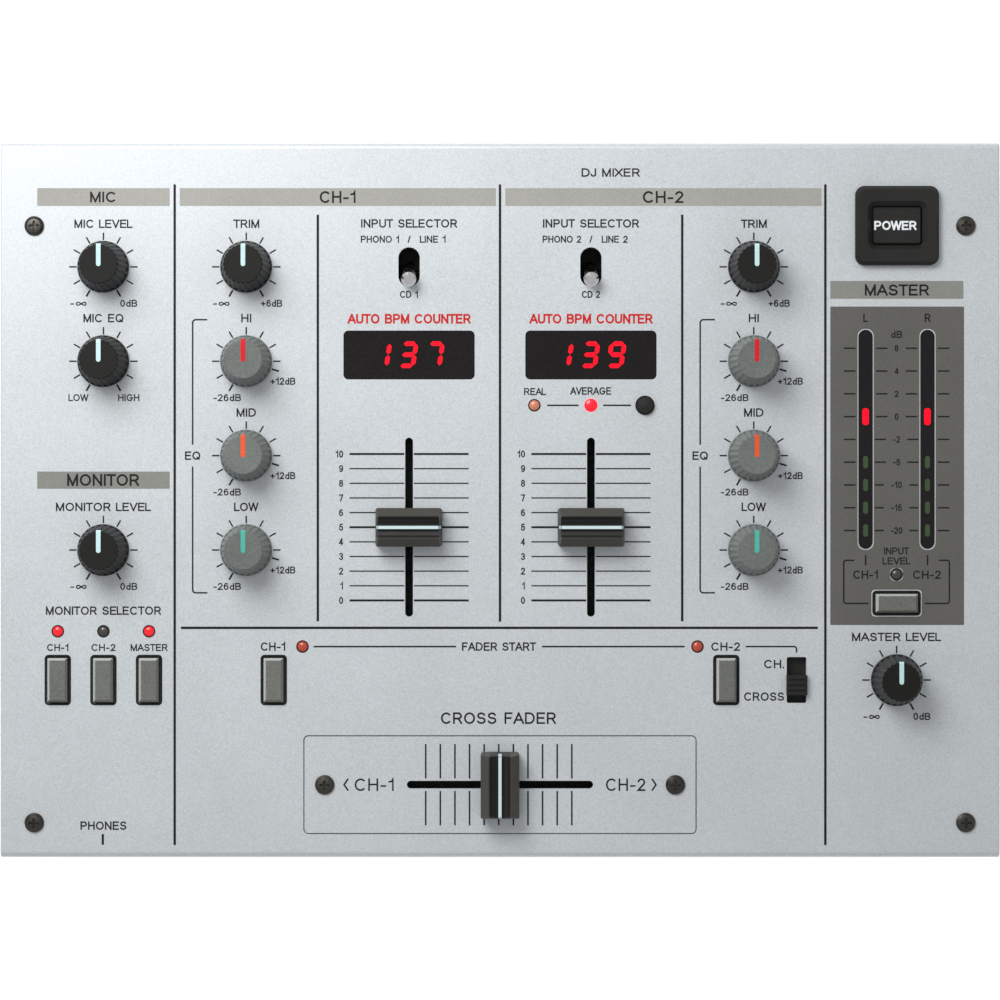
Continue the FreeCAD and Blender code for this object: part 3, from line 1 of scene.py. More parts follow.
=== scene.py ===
"""Looks of a two-channel DJ mixer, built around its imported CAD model.

Lengths are in millimetres until a mesh is made, which is in metres. X runs to the object's
right, Y to its rear and Z up. Places on the object come from the boxes of its CAD nodes.
"""

import math

import bmesh
import bpy
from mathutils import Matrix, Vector
from mathutils.bvhtree import BVHTree


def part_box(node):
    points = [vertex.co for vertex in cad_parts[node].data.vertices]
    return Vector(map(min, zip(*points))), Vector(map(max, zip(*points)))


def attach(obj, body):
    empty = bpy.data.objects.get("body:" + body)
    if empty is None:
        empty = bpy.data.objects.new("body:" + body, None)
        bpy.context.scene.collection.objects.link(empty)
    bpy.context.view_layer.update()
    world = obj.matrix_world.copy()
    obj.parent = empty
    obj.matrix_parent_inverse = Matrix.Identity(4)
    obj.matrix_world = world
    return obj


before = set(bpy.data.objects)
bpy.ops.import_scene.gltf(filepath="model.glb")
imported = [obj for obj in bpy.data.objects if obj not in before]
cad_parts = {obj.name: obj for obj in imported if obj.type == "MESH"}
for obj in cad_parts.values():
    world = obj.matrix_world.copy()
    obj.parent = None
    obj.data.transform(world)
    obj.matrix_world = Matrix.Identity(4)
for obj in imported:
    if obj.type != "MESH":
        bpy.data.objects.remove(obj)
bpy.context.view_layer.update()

MM = 0.001
CHANNELS = (1, 2)


# Places taken from the CAD nodes.

def box(node):
    """Lowest and highest corner of a CAD node, in millimetres."""
    low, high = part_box(node)
    return low / MM, high / MM


def centre(node):
    """X and Y of the middle of a CAD node."""
    low, high = box(node)
    return (low.x + high.x) / 2, (low.y + high.y) / 2


def islands(node):
    """Boxes of a CAD node's separate solids, from left to right and then from front to rear."""
    mesh = bmesh.new()
    mesh.from_mesh(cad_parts[node].data)
    bmesh.ops.remove_doubles(mesh, verts=mesh.verts, dist=0.001 * MM)
    waiting = set(mesh.verts)
    boxes = []
    while waiting:
        front = [waiting.pop()]
        found = []
        while front:
            vertex = front.pop()
            found.append(vertex.co / MM)
            for edge in vertex.link_edges:
                other = edge.other_vert(vertex)
                if other in waiting:
                    waiting.remove(other)
                    front.append(other)
        boxes.append((Vector(map(min, zip(*found))), Vector(map(max, zip(*found)))))
    mesh.free()
    return sorted(boxes, key=lambda pair: (round(pair[0].x), round(pair[0].y)))


def middle(pair):
    """Middle of a box given by its two corners."""
    return (pair[0] + pair[1]) / 2


def surface(node):
    """Tree of a CAD node's triangles, for finding points on its surface."""
    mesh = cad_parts[node].data
    return BVHTree.FromPolygons([v.co for v in mesh.vertices], [p.vertices for p in mesh.polygons])


PANEL_TOP = box("top_panel")[1].z


# Materials. Each one starts from a Finish, which mottles its colour and roughness and adds a grain.

class Finish:
    """A material under construction: a Principled shader with noise in its colour, gloss and relief."""

    def __init__(self, name, colour, roughness, metallic=0.0, mottle=0.12, grain=1500.0,
                 relief=0.25, wear=0.06, stretch=(1.0, 1.0, 1.0)):
        self.material = bpy.data.materials.new(name)
        self.material.use_nodes = True
        self.tree = self.material.node_tree
        self.shader = self.tree.nodes["Principled BSDF"]
        coordinates = self.add("ShaderNodeTexCoord").outputs["Object"]
        self.position = coordinates
        scaled = self.add("ShaderNodeVectorMath", operation="MULTIPLY")
        self.feed(scaled, 0, coordinates)
        scaled.inputs[1].default_value = stretch
        self.coordinates = scaled.outputs["Vector"]
        fine = self.noise(grain, 3.0)
        broad = self.noise(35.0, 4.0)
        shade = self.remap(fine, 0.3, 0.7, 1.0 - mottle, 1.0 + mottle)
        patch = self.remap(broad, 0.3, 0.7, 1.0 - wear, 1.0 + wear)
        self.colour = self.scale_colour(self.scale_colour(colour, shade), patch)
        self.feed(self.shader, "Base Color", self.colour)
        gloss = self.math("ADD", self.remap(fine, 0.3, 0.7, -0.05, 0.05),
                          self.remap(broad, 0.3, 0.7, roughness - wear, roughness + wear))
        self.feed(self.shader, "Roughness", gloss)
        self.shader.inputs["Metallic"].default_value = metallic
        bump = self.add("ShaderNodeBump")
        bump.inputs["Strength"].default_value = relief
        bump.inputs["Distance"].default_value = 0.05 * MM
        self.feed(bump, "Height", fine)
        self.feed(self.shader, "Normal", bump.outputs["Normal"])
        self.bump = bump

    def add(self, kind, **settings):
        """A new node with these settings."""
        node = self.tree.nodes.new(kind)
        for key, setting in settings.items():
            setattr(node, key, setting)
        return node

    def feed(self, node, socket, source):
        """Links an output to a node's input, or sets the input to a plain value."""
        if isinstance(source, bpy.types.NodeSocket):
            self.tree.links.new(source, node.inputs[socket])
        elif isinstance(source, tuple) and len(source) == 3:
            node.inputs[socket].default_value = (*source, 1.0)
        else:
            node.inputs[socket].default_value = source

    def noise(self, scale, detail, coordinates=None):
        """Factor of a noise whose features are about one metre divided by scale."""
        node = self.add("ShaderNodeTexNoise")
        node.inputs["Scale"].default_value = scale
        node.inputs["Detail"].default_value = detail
        self.feed(node, "Vector", coordinates or self.coordinates)
        return node.outputs["Fac"]

    def remap(self, source, start, end, low, high):
        """Source moved from start...end to low...high and held there."""
        node = self.add("ShaderNodeMapRange")
        for socket, value in enumerate((source, start, end, low, high)):
            self.feed(node, socket, value)
        return node.outputs["Result"]

    def math(self, operation, first, second):
        """A sum, product or comparison of two values."""
        node = self.add("ShaderNodeMath", operation=operation)
        self.feed(node, 0, first)
        self.feed(node, 1, second)
        return node.outputs["Value"]

    def blend(self, factor, first, second):
        """The first colour where the factor is 0 and the second where it is 1."""
        node = self.add("ShaderNodeMix", data_type="RGBA")
        self.feed(node, "Factor", factor)
        self.feed(node, 6, first)
        self.feed(node, 7, second)
        return node.outputs[2]

    def scale_colour(self, colour, factor):
        """A colour with its brightness multiplied by a factor."""
        node = self.add("ShaderNodeMix", data_type="RGBA", blend_type="MULTIPLY")
        node.inputs["Factor"].default_value = 1.0
        grey = self.add("ShaderNodeCombineColor")
        for channel in range(3):
            self.feed(grey, channel, factor)
        self.feed(node, 6, colour)
        self.feed(node, 7, grey.outputs["Color"])
        return node.outputs[2]

    def axis(self, name):
        """X, Y or Z of the point in the object's own coordinates, in metres."""
        node = self.add("ShaderNodeSeparateXYZ")
        self.feed(node, 0, self.position)
        return node.outputs[name]

    def coat(self, weight, roughness):
        """A clear layer on top."""
        self.shader.inputs["Coat Weight"].default_value = weight
        self.shader.inputs["Coat Roughness"].default_value = roughness

    def glow(self, colour, strength):
        """Light given off by the surface."""
        self.feed(self.shader, "Emission Color", colour)
        self.shader.inputs["Emission Strength"].default_value = strength


def silver_paint():
    """Pale metallic paint with a fine sparkle and a few rubbed patches."""
    finish = Finish("silver_paint", (0.60, 0.635, 0.655), 0.42, metallic=0.25, mottle=0.10,
                    grain=2200.0, relief=0.12, wear=0.02)
    flake = finish.remap(finish.noise(5200.0, 1.0), 0.62, 0.72, 0.0, 0.35)
    sparkle = finish.blend(flake, finish.colour, (0.9, 0.92, 0.95))
    finish.feed(finish.shader, "Base Color", sparkle)
    return finish.material


def dark_paint():
    """Near-black powder paint with an orange-peel texture and pale scuffs."""
    finish = Finish("dark_paint", (0.022, 0.022, 0.023), 0.5, mottle=0.25, grain=900.0,
                    relief=0.7, wear=0.08)
    scuffs = finish.noise(60.0, 8.0)
    worn = finish.remap(scuffs, 0.66, 0.74, 0.0, 0.35)
    finish.feed(finish.shader, "Base Color", finish.blend(worn, finish.colour, (0.09, 0.088, 0.085)))
    return finish.material


def moulded_plastic(name, colour, roughness, gloss=0.3):
    """Matt moulded plastic, polished a little in broad patches by handling."""
    finish = Finish(name, colour, roughness, mottle=0.16, grain=1800.0, relief=0.35, wear=0.08)
    finish.shader.inputs["Specular IOR Level"].default_value = gloss
    return finish.material


def fader_plastic(name, axis, middle_place):
    """Black plastic whose two outer sloped bands, along one axis, are painted a paler grey as a sheen.
    """
    finish = Finish(name, (0.012, 0.0115, 0.0105), 0.48, mottle=0.16, grain=1800.0, relief=0.35,
                    wear=0.08)
    finish.shader.inputs["Specular IOR Level"].default_value = 0.3
    away = finish.math("SUBTRACT", finish.axis(axis), middle_place * MM)
    # Painted sheen: the two outer sloped bands of the cap are painted paler than the middle.
    painted_sheen = finish.remap(finish.math("ABSOLUTE", away, 0.0), 3.1 * MM, 3.5 * MM, 0.0, 1.0)
    finish.feed(finish.shader, "Base Color",
                finish.blend(painted_sheen, finish.colour, (0.058, 0.055, 0.046)))
    return finish.material


def button_plastic():
    """Grey plastic with a painted highlight on its edges towards the upper left, the side the key light
    comes from.
    """
    finish = Finish("grey_button", (0.145, 0.15, 0.135), 0.42, mottle=0.16, grain=1800.0,
                    relief=0.35, wear=0.08)
    rounding = finish.add("ShaderNodeBevel", samples=6)
    rounding.inputs["Radius"].default_value = 0.45 * MM
    toward_light = finish.add("ShaderNodeVectorMath", operation="DOT_PRODUCT")
    finish.feed(toward_light, 0, rounding.outputs["Normal"])
    toward_light.inputs[1].default_value = (-0.8, 0.6, 0.0)
    # Painted highlight: edges whose rounded normal leans to the upper left are painted pale.
    painted_highlight = finish.remap(toward_light.outputs["Value"], 0.18, 0.42, 0.0, 0.8)
    finish.feed(finish.shader, "Base Color",
                finish.blend(painted_highlight, finish.colour, (0.52, 0.55, 0.53)))
    return finish.material


def plated(name, colour, roughness, stretch):
    """Bare or plated metal with fine lines along one axis and faint tarnish."""
    finish = Finish(name, colour, roughness, metallic=1.0, mottle=0.08, grain=700.0,
                    relief=0.15, wear=0.07, stretch=stretch)
    tarnish = finish.remap(finish.noise(90.0, 6.0), 0.6, 0.75, 0.0, 0.4)
    dull = tuple(0.55 * part for part in colour)
    finish.feed(finish.shader, "Base Color", finish.blend(tarnish, finish.colour, dull))
    return finish.material


def lever_chrome():
    """Bright chrome, painted near-black as shade where a lever is inside its housing."""
    finish = Finish("bright_lever", (0.86, 0.86, 0.85), 0.16, metallic=1.0, mottle=0.05,
                    grain=700.0, relief=0.1, wear=0.05, stretch=(1.0, 1.0, 0.3))
    # Painted shade: below the panel the lever is painted near-black and loses its metal gloss.
    painted_shade = finish.math("LESS_THAN", finish.axis("Z"), (PANEL_TOP - 3.5) * MM)
    finish.feed(finish.shader, "Base Color",
                finish.blend(painted_shade, finish.colour, (0.012, 0.011, 0.01)))
    finish.feed(finish.shader, "Metallic", finish.math("SUBTRACT", 1.0, painted_shade))
    finish.feed(finish.shader, "Specular IOR Level", finish.math("SUBTRACT", 0.6, painted_shade))
    return finish.material


def smoked_window():
    """Dark tinted acrylic, glossy, with faint hairlines."""
    finish = Finish("smoked_window", (0.009, 0.0065, 0.007), 0.2, mottle=0.3, grain=1200.0,
                    relief=0.03, wear=0.05)
    hairlines = finish.remap(finish.noise(260.0, 2.0), 0.49, 0.5, 0.0, 0.05)
    finish.feed(finish.shader, "Coat Roughness", hairlines)
    finish.shader.inputs["Specular IOR Level"].default_value = 0.25
    finish.shader.inputs["Coat Weight"].default_value = 0.1
    return finish.material


def foot_rubber():
    """Soft black rubber with a dusty bloom."""
    finish = Finish("foot_rubber", (0.02, 0.02, 0.02), 0.85, mottle=0.3, grain=600.0,
                    relief=0.6, wear=0.1)
    dust = finish.remap(finish.noise(120.0, 5.0), 0.5, 0.75, 0.0, 0.3)
    finish.feed(finish.shader, "Base Color", finish.blend(dust, finish.colour, (0.12, 0.115, 0.1)))
    return finish.material


def circuit_board():
    """Green solder mask with paler copper tracks under it."""
    finish = Finish("circuit_board", (0.005, 0.022, 0.01), 0.45, mottle=0.15, grain=900.0,
                    relief=0.2)
    tracks = finish.add("ShaderNodeTexBrick", offset=0.35, squash=1.0)
    finish.feed(tracks, "Vector", finish.coordinates)
    tracks.inputs["Scale"].default_value = 90.0
    tracks.inputs["Mortar Size"].default_value = 0.06
    on_track = finish.remap(tracks.outputs["Fac"], 0.0, 1.0, 0.0, 0.6)
    finish.feed(finish.shader, "Base Color",
                finish.blend(on_track, finish.colour, (0.02, 0.06, 0.02)))
    return finish.material


def phono_insulator():
    """White plastic in the upper row of phono sockets and red in the lower row."""
    finish = Finish("white_plastic", (0.75, 0.74, 0.7), 0.4, mottle=0.06, grain=1200.0)
    low, high = box("phono_inserts")
    split = (low.z + high.z) / 2 * MM
    lower = finish.math("LESS_THAN", finish.axis("Z"), split)
    finish.feed(finish.shader, "Base Color", finish.blend(lower, finish.colour, (0.6, 0.02, 0.02)))
    return finish.material


def lamp_plastic(name, colour, strength):
    """Tinted clear plastic of a small lamp, which glows evenly when it is lit."""
    finish = Finish(name, colour, 0.25, mottle=0.1, grain=900.0, relief=0.05)
    finish.coat(0.5, 0.1)
    if strength:
        finish.glow(colour, strength)
    return finish.material


def ink(name, colour, roughness=0.5, strength=0.0):
    """Screen-printed ink with tiny voids, or a lit area when it has a strength."""
    finish = Finish(name, colour, roughness, mottle=0.12, grain=2600.0, relief=0.1, wear=0.05)
    finish.shader.inputs["Specular IOR Level"].default_value = 0.2
    if strength:
        finish.glow(colour, strength)
    return finish.material


MATERIALS = {
    "silver_paint": silver_paint(),
    "dark_paint": dark_paint(),
    "black_knob": moulded_plastic("black_knob", (0.012, 0.0115, 0.010), 0.5, 0.18),
    "grey_knob": moulded_plastic("grey_knob", (0.15, 0.165, 0.155), 0.45),
    "black_plastic": moulded_plastic("black_plastic", (0.016, 0.0155, 0.0145), 0.48),
    "grey_button": button_plastic(),
    "steel": plated("steel", (0.5, 0.5, 0.5), 0.38, (0.1, 1.0, 1.0)),
    "bright_metal": plated("bright_metal", (0.75, 0.74, 0.71), 0.24, (1.0, 0.2, 1.0)),
    "bright_lever": lever_chrome(),
    "black_screw": plated("black_screw", (0.085, 0.08, 0.072), 0.4, (1.0, 1.0, 1.0)),
    "smoked_window": smoked_window(),
    "meter_lamp": lamp_plastic("meter_lamp", (0.12, 0.1, 0.08), 0.0),
    "red_lamp": lamp_plastic("red_lamp", (0.25, 0.02, 0.02), 0.0),
    "foot_rubber": foot_rubber(),
    "circuit_board": circuit_board(),
    "white_plastic": phono_insulator(),
}


def dress_cad():
    """Gives every CAD node the material of its slot, and the fader caps their own."""
    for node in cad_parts.values():
        for slot in node.material_slots:
            slot.material = MATERIALS[slot.material.name.split(".")[0]]
    upright = fader_plastic("fader_plastic", "Y", centre("channel_fader_cap_1")[1])
    level = fader_plastic("crossfader_plastic", "X", centre("crossfader_cap")[0])
    for cap, material in (("channel_fader_cap_1", upright), ("channel_fader_cap_2", upright),
                          ("crossfader_cap", level)):
        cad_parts[cap].material_slots[0].material = material


# Flat shapes: everything that is printed on a surface, painted as shade or shows as a lit area.

class Print:
    """Flat shapes of one colour, kept as thin closed plates in one mesh.

    The plates lie on a level surface, reach a little way into it and stand a little proud."""

    SINK = 0.03
    RISE = 0.03
    STEP = 0.008
    LEVELS = 6

    def __init__(self, name, material, level=PANEL_TOP, rise=RISE):
        self.name = name
        self.material = material
        self.bottom = level - self.SINK
        self.top = level + rise
        self.mesh = bmesh.new()
        self.strokes = 0

    def plate(self, outline):
        """One plate with this outline, given anticlockwise."""
        low = [self.mesh.verts.new((x * MM, y * MM, self.bottom * MM)) for x, y in outline]
        high = [self.mesh.verts.new((x * MM, y * MM, self.top * MM)) for x, y in outline]
        self.mesh.faces.new(reversed(low))
        self.mesh.faces.new(high)
        for i in range(len(outline)):
            j = (i + 1) % len(outline)
            self.mesh.faces.new((low[i], low[j], high[j], high[i]))

    def rectangle(self, x, y, width, height):
        """A plate centred at x, y."""
        w, h = width / 2, height / 2
        self.plate([(x - w, y - h), (x + w, y - h), (x + w, y + h), (x - w, y + h)])

    def rounded(self, x, y, width, height, radius, steps=6):
        """A plate centred at x, y with round corners."""
        self.plate(rounded_outline(x, y, width, height, radius, steps))

    def sheet(self, outline, holes):
        """A plate with this outline and with openings in it."""
        edges = []
        for loop in (outline, *holes):
            low = [self.mesh.verts.new((x * MM, y * MM, self.bottom * MM)) for x, y in loop]
            edges += [self.mesh.edges.new(pair) for pair in zip(low, low[1:] + low[:1])]
        filled = bmesh.ops.triangle_fill(self.mesh, edges=edges, use_beauty=True)
        faces = [part for part in filled["geom"] if isinstance(part, bmesh.types.BMFace)]
        raised = bmesh.ops.extrude_face_region(self.mesh, geom=faces)
        lifted = [part for part in raised["geom"] if isinstance(part, bmesh.types.BMVert)]
        bmesh.ops.translate(self.mesh, verts=lifted, vec=(0, 0, (self.top - self.bottom) * MM))

    def line(self, points, width):
        """A stroke of even width along a path. It closes on itself where the path does.

        Strokes that follow one another differ a little in height, so that they can cross."""
        top = self.top - self.STEP * (self.strokes % self.LEVELS)
        self.strokes += 1
        closed = points[0] == points[-1]
        left, right = offset_path(points, width / 2, closed)
        rings = []
        for (x, y), (across, along) in zip(left, right):
            rings.append([self.mesh.verts.new((u * MM, v * MM, z * MM)) for u, v, z in (
                (x, y, self.bottom), (across, along, self.bottom),
                (across, along, top), (x, y, top))])
        pairs = list(zip(rings, rings[1:]))
        if closed:
            pairs.append((rings[-1], rings[0]))
        else:
            self.mesh.faces.new(rings[0])
            self.mesh.faces.new(reversed(rings[-1]))
        for a, b in pairs:
            for i in range(4):
                j = (i + 1) % 4
                self.mesh.faces.new((a[j], a[i], b[i], b[j]))

    def ray(self, x, y, angle, start, end, width):
        """A stroke away from x, y. The angle is clockwise from the rear."""
        way = (math.sin(math.radians(angle)), math.cos(math.radians(angle)))
        points = [(x + r * way[0], y + r * way[1]) for r in (start, end)]
        self.line(points, width)

    def text(self, words, x, y, height, width=None, weight=0.165, slant=0.0, align=0.5):
        """Words in even strokes, squeezed to a width, with their capitals centred at y.

        The height and the width are those of the ink, and the weight is the stroke's width as
        a part of the height. Align is 0 where x is the left end and 1 where it is the right."""
        stroke = weight * height
        strokes, reach = set_words(words)
        tall = height - stroke
        wide = (width - stroke) / reach if width else tall
        left = x - align * (wide * reach + stroke) + stroke / 2
        foot = y - tall / 2
        for path in strokes:
            points = [(left + u * wide + (v - 0.5) * slant * tall, foot + v * tall) for u, v in path]
            self.line(square_ends(points, stroke / 2), stroke)

    def finish(self, body="chassis"):
        """Makes the object and lets it ride on a body."""
        return make_piece(self.name, self.mesh, self.material, body)


def rounded_outline(x, y, width, height, radius, steps):
    """A rectangle with round corners, anticlockwise from its right side."""
    outline = []
    for quarter, (side_x, side_y) in enumerate(((1, 1), (-1, 1), (-1, -1), (1, -1))):
        for step in range(steps + 1):
            angle = math.radians(90 * (quarter + step / steps))
            outline.append((x + side_x * (width / 2 - radius) + radius * math.cos(angle),
                            y + side_y * (height / 2 - radius) + radius * math.sin(angle)))
    return outline


def offset_path(points, distance, closed):
    """The path moved to its left and to its right. A closed path loses its repeated last point."""
    ways = [(Vector(b) - Vector(a)).normalized() for a, b in zip(points, points[1:])]
    if closed:
        points = points[:-1]
    left = []
    right = []
    for i, point in enumerate(points):
        before = ways[i - 1] if i or closed else ways[0]
        after = ways[min(i, len(ways) - 1)]
        along = (before + after).normalized()
        across = Vector((-along.y, along.x)) * distance / max(along.dot(after), 0.3)
        left.append(tuple(Vector(point) + across))
        right.append(tuple(Vector(point) - across))
    return left, right


def square_ends(points, reach):
    """An open path made longer at both ends."""
    if points[0] == points[-1]:
        return points
    first = Vector(points[0]) + (Vector(points[0]) - Vector(points[1])).normalized() * reach
    last = Vector(points[-1]) + (Vector(points[-1]) - Vector(points[-2])).normalized() * reach
    return [tuple(first), *points[1:-1], tuple(last)]


def corner_path(points, radius, steps=6):
    """A path whose inner corners are rounded."""
    path = [points[0]]
    for before, corner, after in zip(points, points[1:], points[2:]):
        a = Vector(corner) + (Vector(before) - Vector(corner)).normalized() * radius
        b = Vector(corner) + (Vector(after) - Vector(corner)).normalized() * radius
        hub = a + b - Vector(corner)
        for step in range(steps + 1):
            angle = math.radians(90 * step / steps)
            path.append(tuple(hub + (a - hub) * math.cos(angle) + (b - hub) * math.sin(angle)))
    path.append(points[-1])
    return path


# Lettering. A glyph is its width and its strokes, where its capitals are one unit high.

def arc(x, y, wide, tall, start, end, steps=10):
    """Points of an ellipse about x, y between two angles, which run anticlockwise from its right."""
    angles = [math.radians(start + (end - start) * step / steps) for step in range(steps + 1)]
    return [(x + wide * math.cos(angle), y + tall * math.sin(angle)) for angle in angles]


def ring(x, y, wide, tall):
    """A closed ellipse."""
    points = arc(x, y, wide, tall, 0, 360, 20)
    return points[:-1] + points[:1]


def loops():
    """The two crossing loops of the sign for infinity."""
    angles = [math.tau * step / 28 for step in range(28)]
    points = [(0.5 + 0.5 * math.cos(angle), 0.42 + 0.26 * math.sin(2 * angle)) for angle in angles]
    return points + points[:1]


STEM = [(0, 0), (0, 1)]
BOWL = [(0, 1), *arc(0.36, 0.73, 0.24, 0.27, 90, -90), (0, 0.46)]
HALF_D = [(0, 0), (0, 1), *arc(0.3, 0.5, 0.38, 0.5, 90, -90), (0, 0)]
GLYPHS = {
    "A": (0.76, [[(0, 0), (0.38, 1)], [(0.38, 1), (0.76, 0)], [(0.13, 0.32), (0.63, 0.32)]]),
    "B": (0.62, [STEM, [(0, 1), *arc(0.36, 0.765, 0.22, 0.235, 90, -90), (0, 0.53)],
                 [*arc(0.36, 0.265, 0.26, 0.265, 90, -90), (0, 0)]]),
    "C": (0.72, [arc(0.38, 0.5, 0.38, 0.5, 48, 312, 16)]),
    "D": (0.68, [HALF_D]),
    "E": (0.56, [[(0.56, 1), (0, 1), (0, 0), (0.56, 0)], [(0, 0.52), (0.5, 0.52)]]),
    "F": (0.52, [[(0.52, 1), (0, 1), (0, 0)], [(0, 0.51), (0.44, 0.51)]]),
    "G": (0.76, [[*arc(0.38, 0.5, 0.38, 0.5, 48, 318, 16), (0.74, 0.46), (0.42, 0.46)]]),
    "H": (0.62, [STEM, [(0.62, 0), (0.62, 1)], [(0, 0.52), (0.62, 0.52)]]),
    "I": (0.0, [STEM]),
    "J": (0.42, [[(0.42, 1), *arc(0.21, 0.24, 0.21, 0.24, 0, -180)]]),
    "L": (0.48, [[(0, 1), (0, 0), (0.48, 0)]]),
    "M": (0.74, [STEM, [(0, 1), (0.37, 0)], [(0.37, 0), (0.74, 1)], [(0.74, 1), (0.74, 0)]]),
    "N": (0.62, [STEM, [(0, 1), (0.62, 0)], [(0.62, 0), (0.62, 1)]]),
    "O": (0.78, [ring(0.39, 0.5, 0.39, 0.5)]),
    "P": (0.6, [STEM, BOWL]),
    "Q": (0.78, [ring(0.39, 0.5, 0.39, 0.5), [(0.48, 0.24), (0.72, 0.02)]]),
    "R": (0.62, [STEM, BOWL, [(0.36, 0.46), (0.62, 0)]]),
    "S": (0.6, [[*arc(0.3, 0.75, 0.27, 0.25, 20, 270), *arc(0.3, 0.26, 0.3, 0.26, 70, -160)]]),
    "T": (0.62, [[(0, 1), (0.62, 1)], [(0.31, 1), (0.31, 0)]]),
    "U": (0.62, [[(0, 1), *arc(0.31, 0.31, 0.31, 0.31, 180, 360), (0.62, 1)]]),
    "V": (0.7, [[(0, 1), (0.35, 0)], [(0.35, 0), (0.7, 1)]]),
    "W": (1.04, [[(0, 1), (0.26, 0)], [(0.26, 0), (0.52, 1)],
                 [(0.52, 1), (0.78, 0)], [(0.78, 0), (1.04, 1)]]),
    "X": (0.68, [[(0, 0), (0.68, 1)], [(0, 1), (0.68, 0)]]),
    "d": (0.48, [[(0.48, 1), (0.48, 0)], ring(0.25, 0.31, 0.23, 0.31)]),
    "0": (0.5, [ring(0.25, 0.5, 0.25, 0.5)]),
    "1": (0.3, [[(0, 0.77), (0.18, 0.8), (0.27, 1), (0.27, 0)]]),
    "2": (0.5, [[*arc(0.25, 0.73, 0.24, 0.27, 165, -35), (0, 0), (0.5, 0)]]),
    "3": (0.5, [arc(0.25, 0.76, 0.22, 0.24, 160, -90), arc(0.25, 0.26, 0.25, 0.26, 90, -160)]),
    "4": (0.52, [[(0.39, 0), (0.39, 1)], [(0.39, 1), (0, 0.27)], [(0, 0.27), (0.52, 0.27)]]),
    "5": (0.5, [[(0.45, 1), (0.09, 1), (0.03, 0.5), *arc(0.24, 0.33, 0.26, 0.33, 130, -150)]]),
    "6": (0.5, [ring(0.25, 0.31, 0.25, 0.31), arc(0.26, 0.5, 0.26, 0.5, 50, 190)]),
    "7": (0.5, [[(0, 1), (0.5, 1), (0.17, 0)]]),
    "8": (0.5, [ring(0.25, 0.77, 0.22, 0.23), ring(0.25, 0.27, 0.25, 0.27)]),
    "9": (0.5, [ring(0.25, 0.69, 0.25, 0.31), arc(0.24, 0.5, 0.26, 0.5, -130, 10)]),
    "+": (0.54, [[(0, 0.42), (0.54, 0.42)], [(0.27, 0.15), (0.27, 0.69)]]),
    "-": (0.3, [[(0, 0.38), (0.3, 0.38)]]),
    ".": (0.0, [[(0, 0), (0, 0.02)]]),
    "/": (0.3, [[(0, 0), (0.3, 1)]]),
    "∞": (1.0, [loops()]),
}
OPEN_SIDED = "ATVWXLJ7/"
WORD_SPACE = 0.53


def set_words(words):
    """Strokes of the words from left to right, and the distance they reach."""
    strokes = []
    start = 0.0
    end = 0.0
    for letter in words:
        if letter == " ":
            start += WORD_SPACE
            continue
        width, paths = GLYPHS[letter]
        bearing = 0.07 if letter in OPEN_SIDED else 0.15
        if strokes:
            start += bearing
        strokes += [[(start + u, v) for u, v in path] for path in paths]
        end = start + width
        start = end + bearing
    return strokes, end


def make_piece(name, mesh, material, body):
    """Turns a bmesh into an object that rides on a body."""
    bmesh.ops.remove_doubles(mesh, verts=mesh.verts, dist=0.0005 * MM)
    bmesh.ops.recalc_face_normals(mesh, faces=mesh.faces)
    data = bpy.data.meshes.new(name)
    mesh.to_mesh(data)
    mesh.free()
    data.materials.append(material)
    piece = bpy.data.objects.new(name, data)
    bpy.context.scene.collection.objects.link(piece)
    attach(piece, body)
    return piece


def smooth(piece, angle=35.0):
    """Smooth shading, except across edges sharper than the angle."""
    for polygon in piece.data.polygons:
        polygon.use_smooth = True
    piece.data.set_sharp_from_angle(angle=math.radians(angle))


BLACK_INK = ink("black_ink", (0.012, 0.012, 0.012))
RED_INK = ink("red_ink", (0.60, 0.012, 0.008))
BAR_INK = ink("grey_bar_ink", (0.38, 0.375, 0.345))
DARK_BAR_INK = ink("dark_bar_ink", (0.25, 0.255, 0.23))
METER_INK = ink("meter_panel_ink", (0.125, 0.122, 0.112), roughness=0.55)
WHITE_INK = ink("white_ink", (0.62, 0.76, 0.78))
DIGIT_LIGHT = ink("digit_light", (0.74, 0.0, 0.012), strength=0.8)
SEGMENT_LIGHT = ink("segment_light", (0.78, 0.0, 0.012), strength=0.8)
SEGMENT_DIM = ink("segment_dim", (0.05, 0.09, 0.04), roughness=0.3)


# The panel's printed areas, rules and legends, and the painted shade round the buttons.

KNOBS_WITH_FULL_SCALE = ("mic_level_knob", "mic_eq_knob", "monitor_level_knob",
                         "master_level_knob", "trim_knob_1", "trim_knob_2")
BUTTONS = ("monitor_button_1", "monitor_button_2", "monitor_button_master",
           "fader_start_button_1", "fader_start_button_2", "input_level_button")
BANDS = (("high", "HI", 3.2), ("mid", "MID", 6.2), ("low", "LOW", 7.8))
RULE = 0.76
FINE_RULE = 0.48
CAPTION = 2.7
SMALL = 2.24
TICK = 0.46
THICK_TICK = 0.56
TICK_START = 8.6
TICK_END = 10.95
FIRST_MARK = -150
LAST_MARK = 150
LAST_TONE_MARK = 107
HEADING_RISE = 13.8
END_VALUE_DROP = 11.65
FADER_MARKS = 11
FADER_MARK_PITCH = 4.685
CROSSFADER_MARK_PITCH = 4.675
START_LINE_Y = -46.9
SIDE_RULE = 104.1
CHANNEL_RULE = 58.3
METER_FIELD = (127.1, 10.95, 42.8, 101.9)
METER_RIM = 0.3
HEADER_Y = 96.95
HEADER_HEIGHT = 5.7


def panel_areas(bars, dark_bars, meter):
    """Grey header bars, two of them darker, and the field behind the meters."""
    for x, width in ((-126.9, 42.4), (-51.9, 101.2), (52.3, 101.2)):
        bars.rectangle(x, HEADER_Y, width, HEADER_HEIGHT)
    dark_bars.rectangle(-126.9, 6.35, 42.4, 5.5)
    dark_bars.rectangle(127.0, 67.25, 42.6, 5.7)
    meter.sheet(rounded_outline(*METER_FIELD, 0.2, 1), meter_openings())


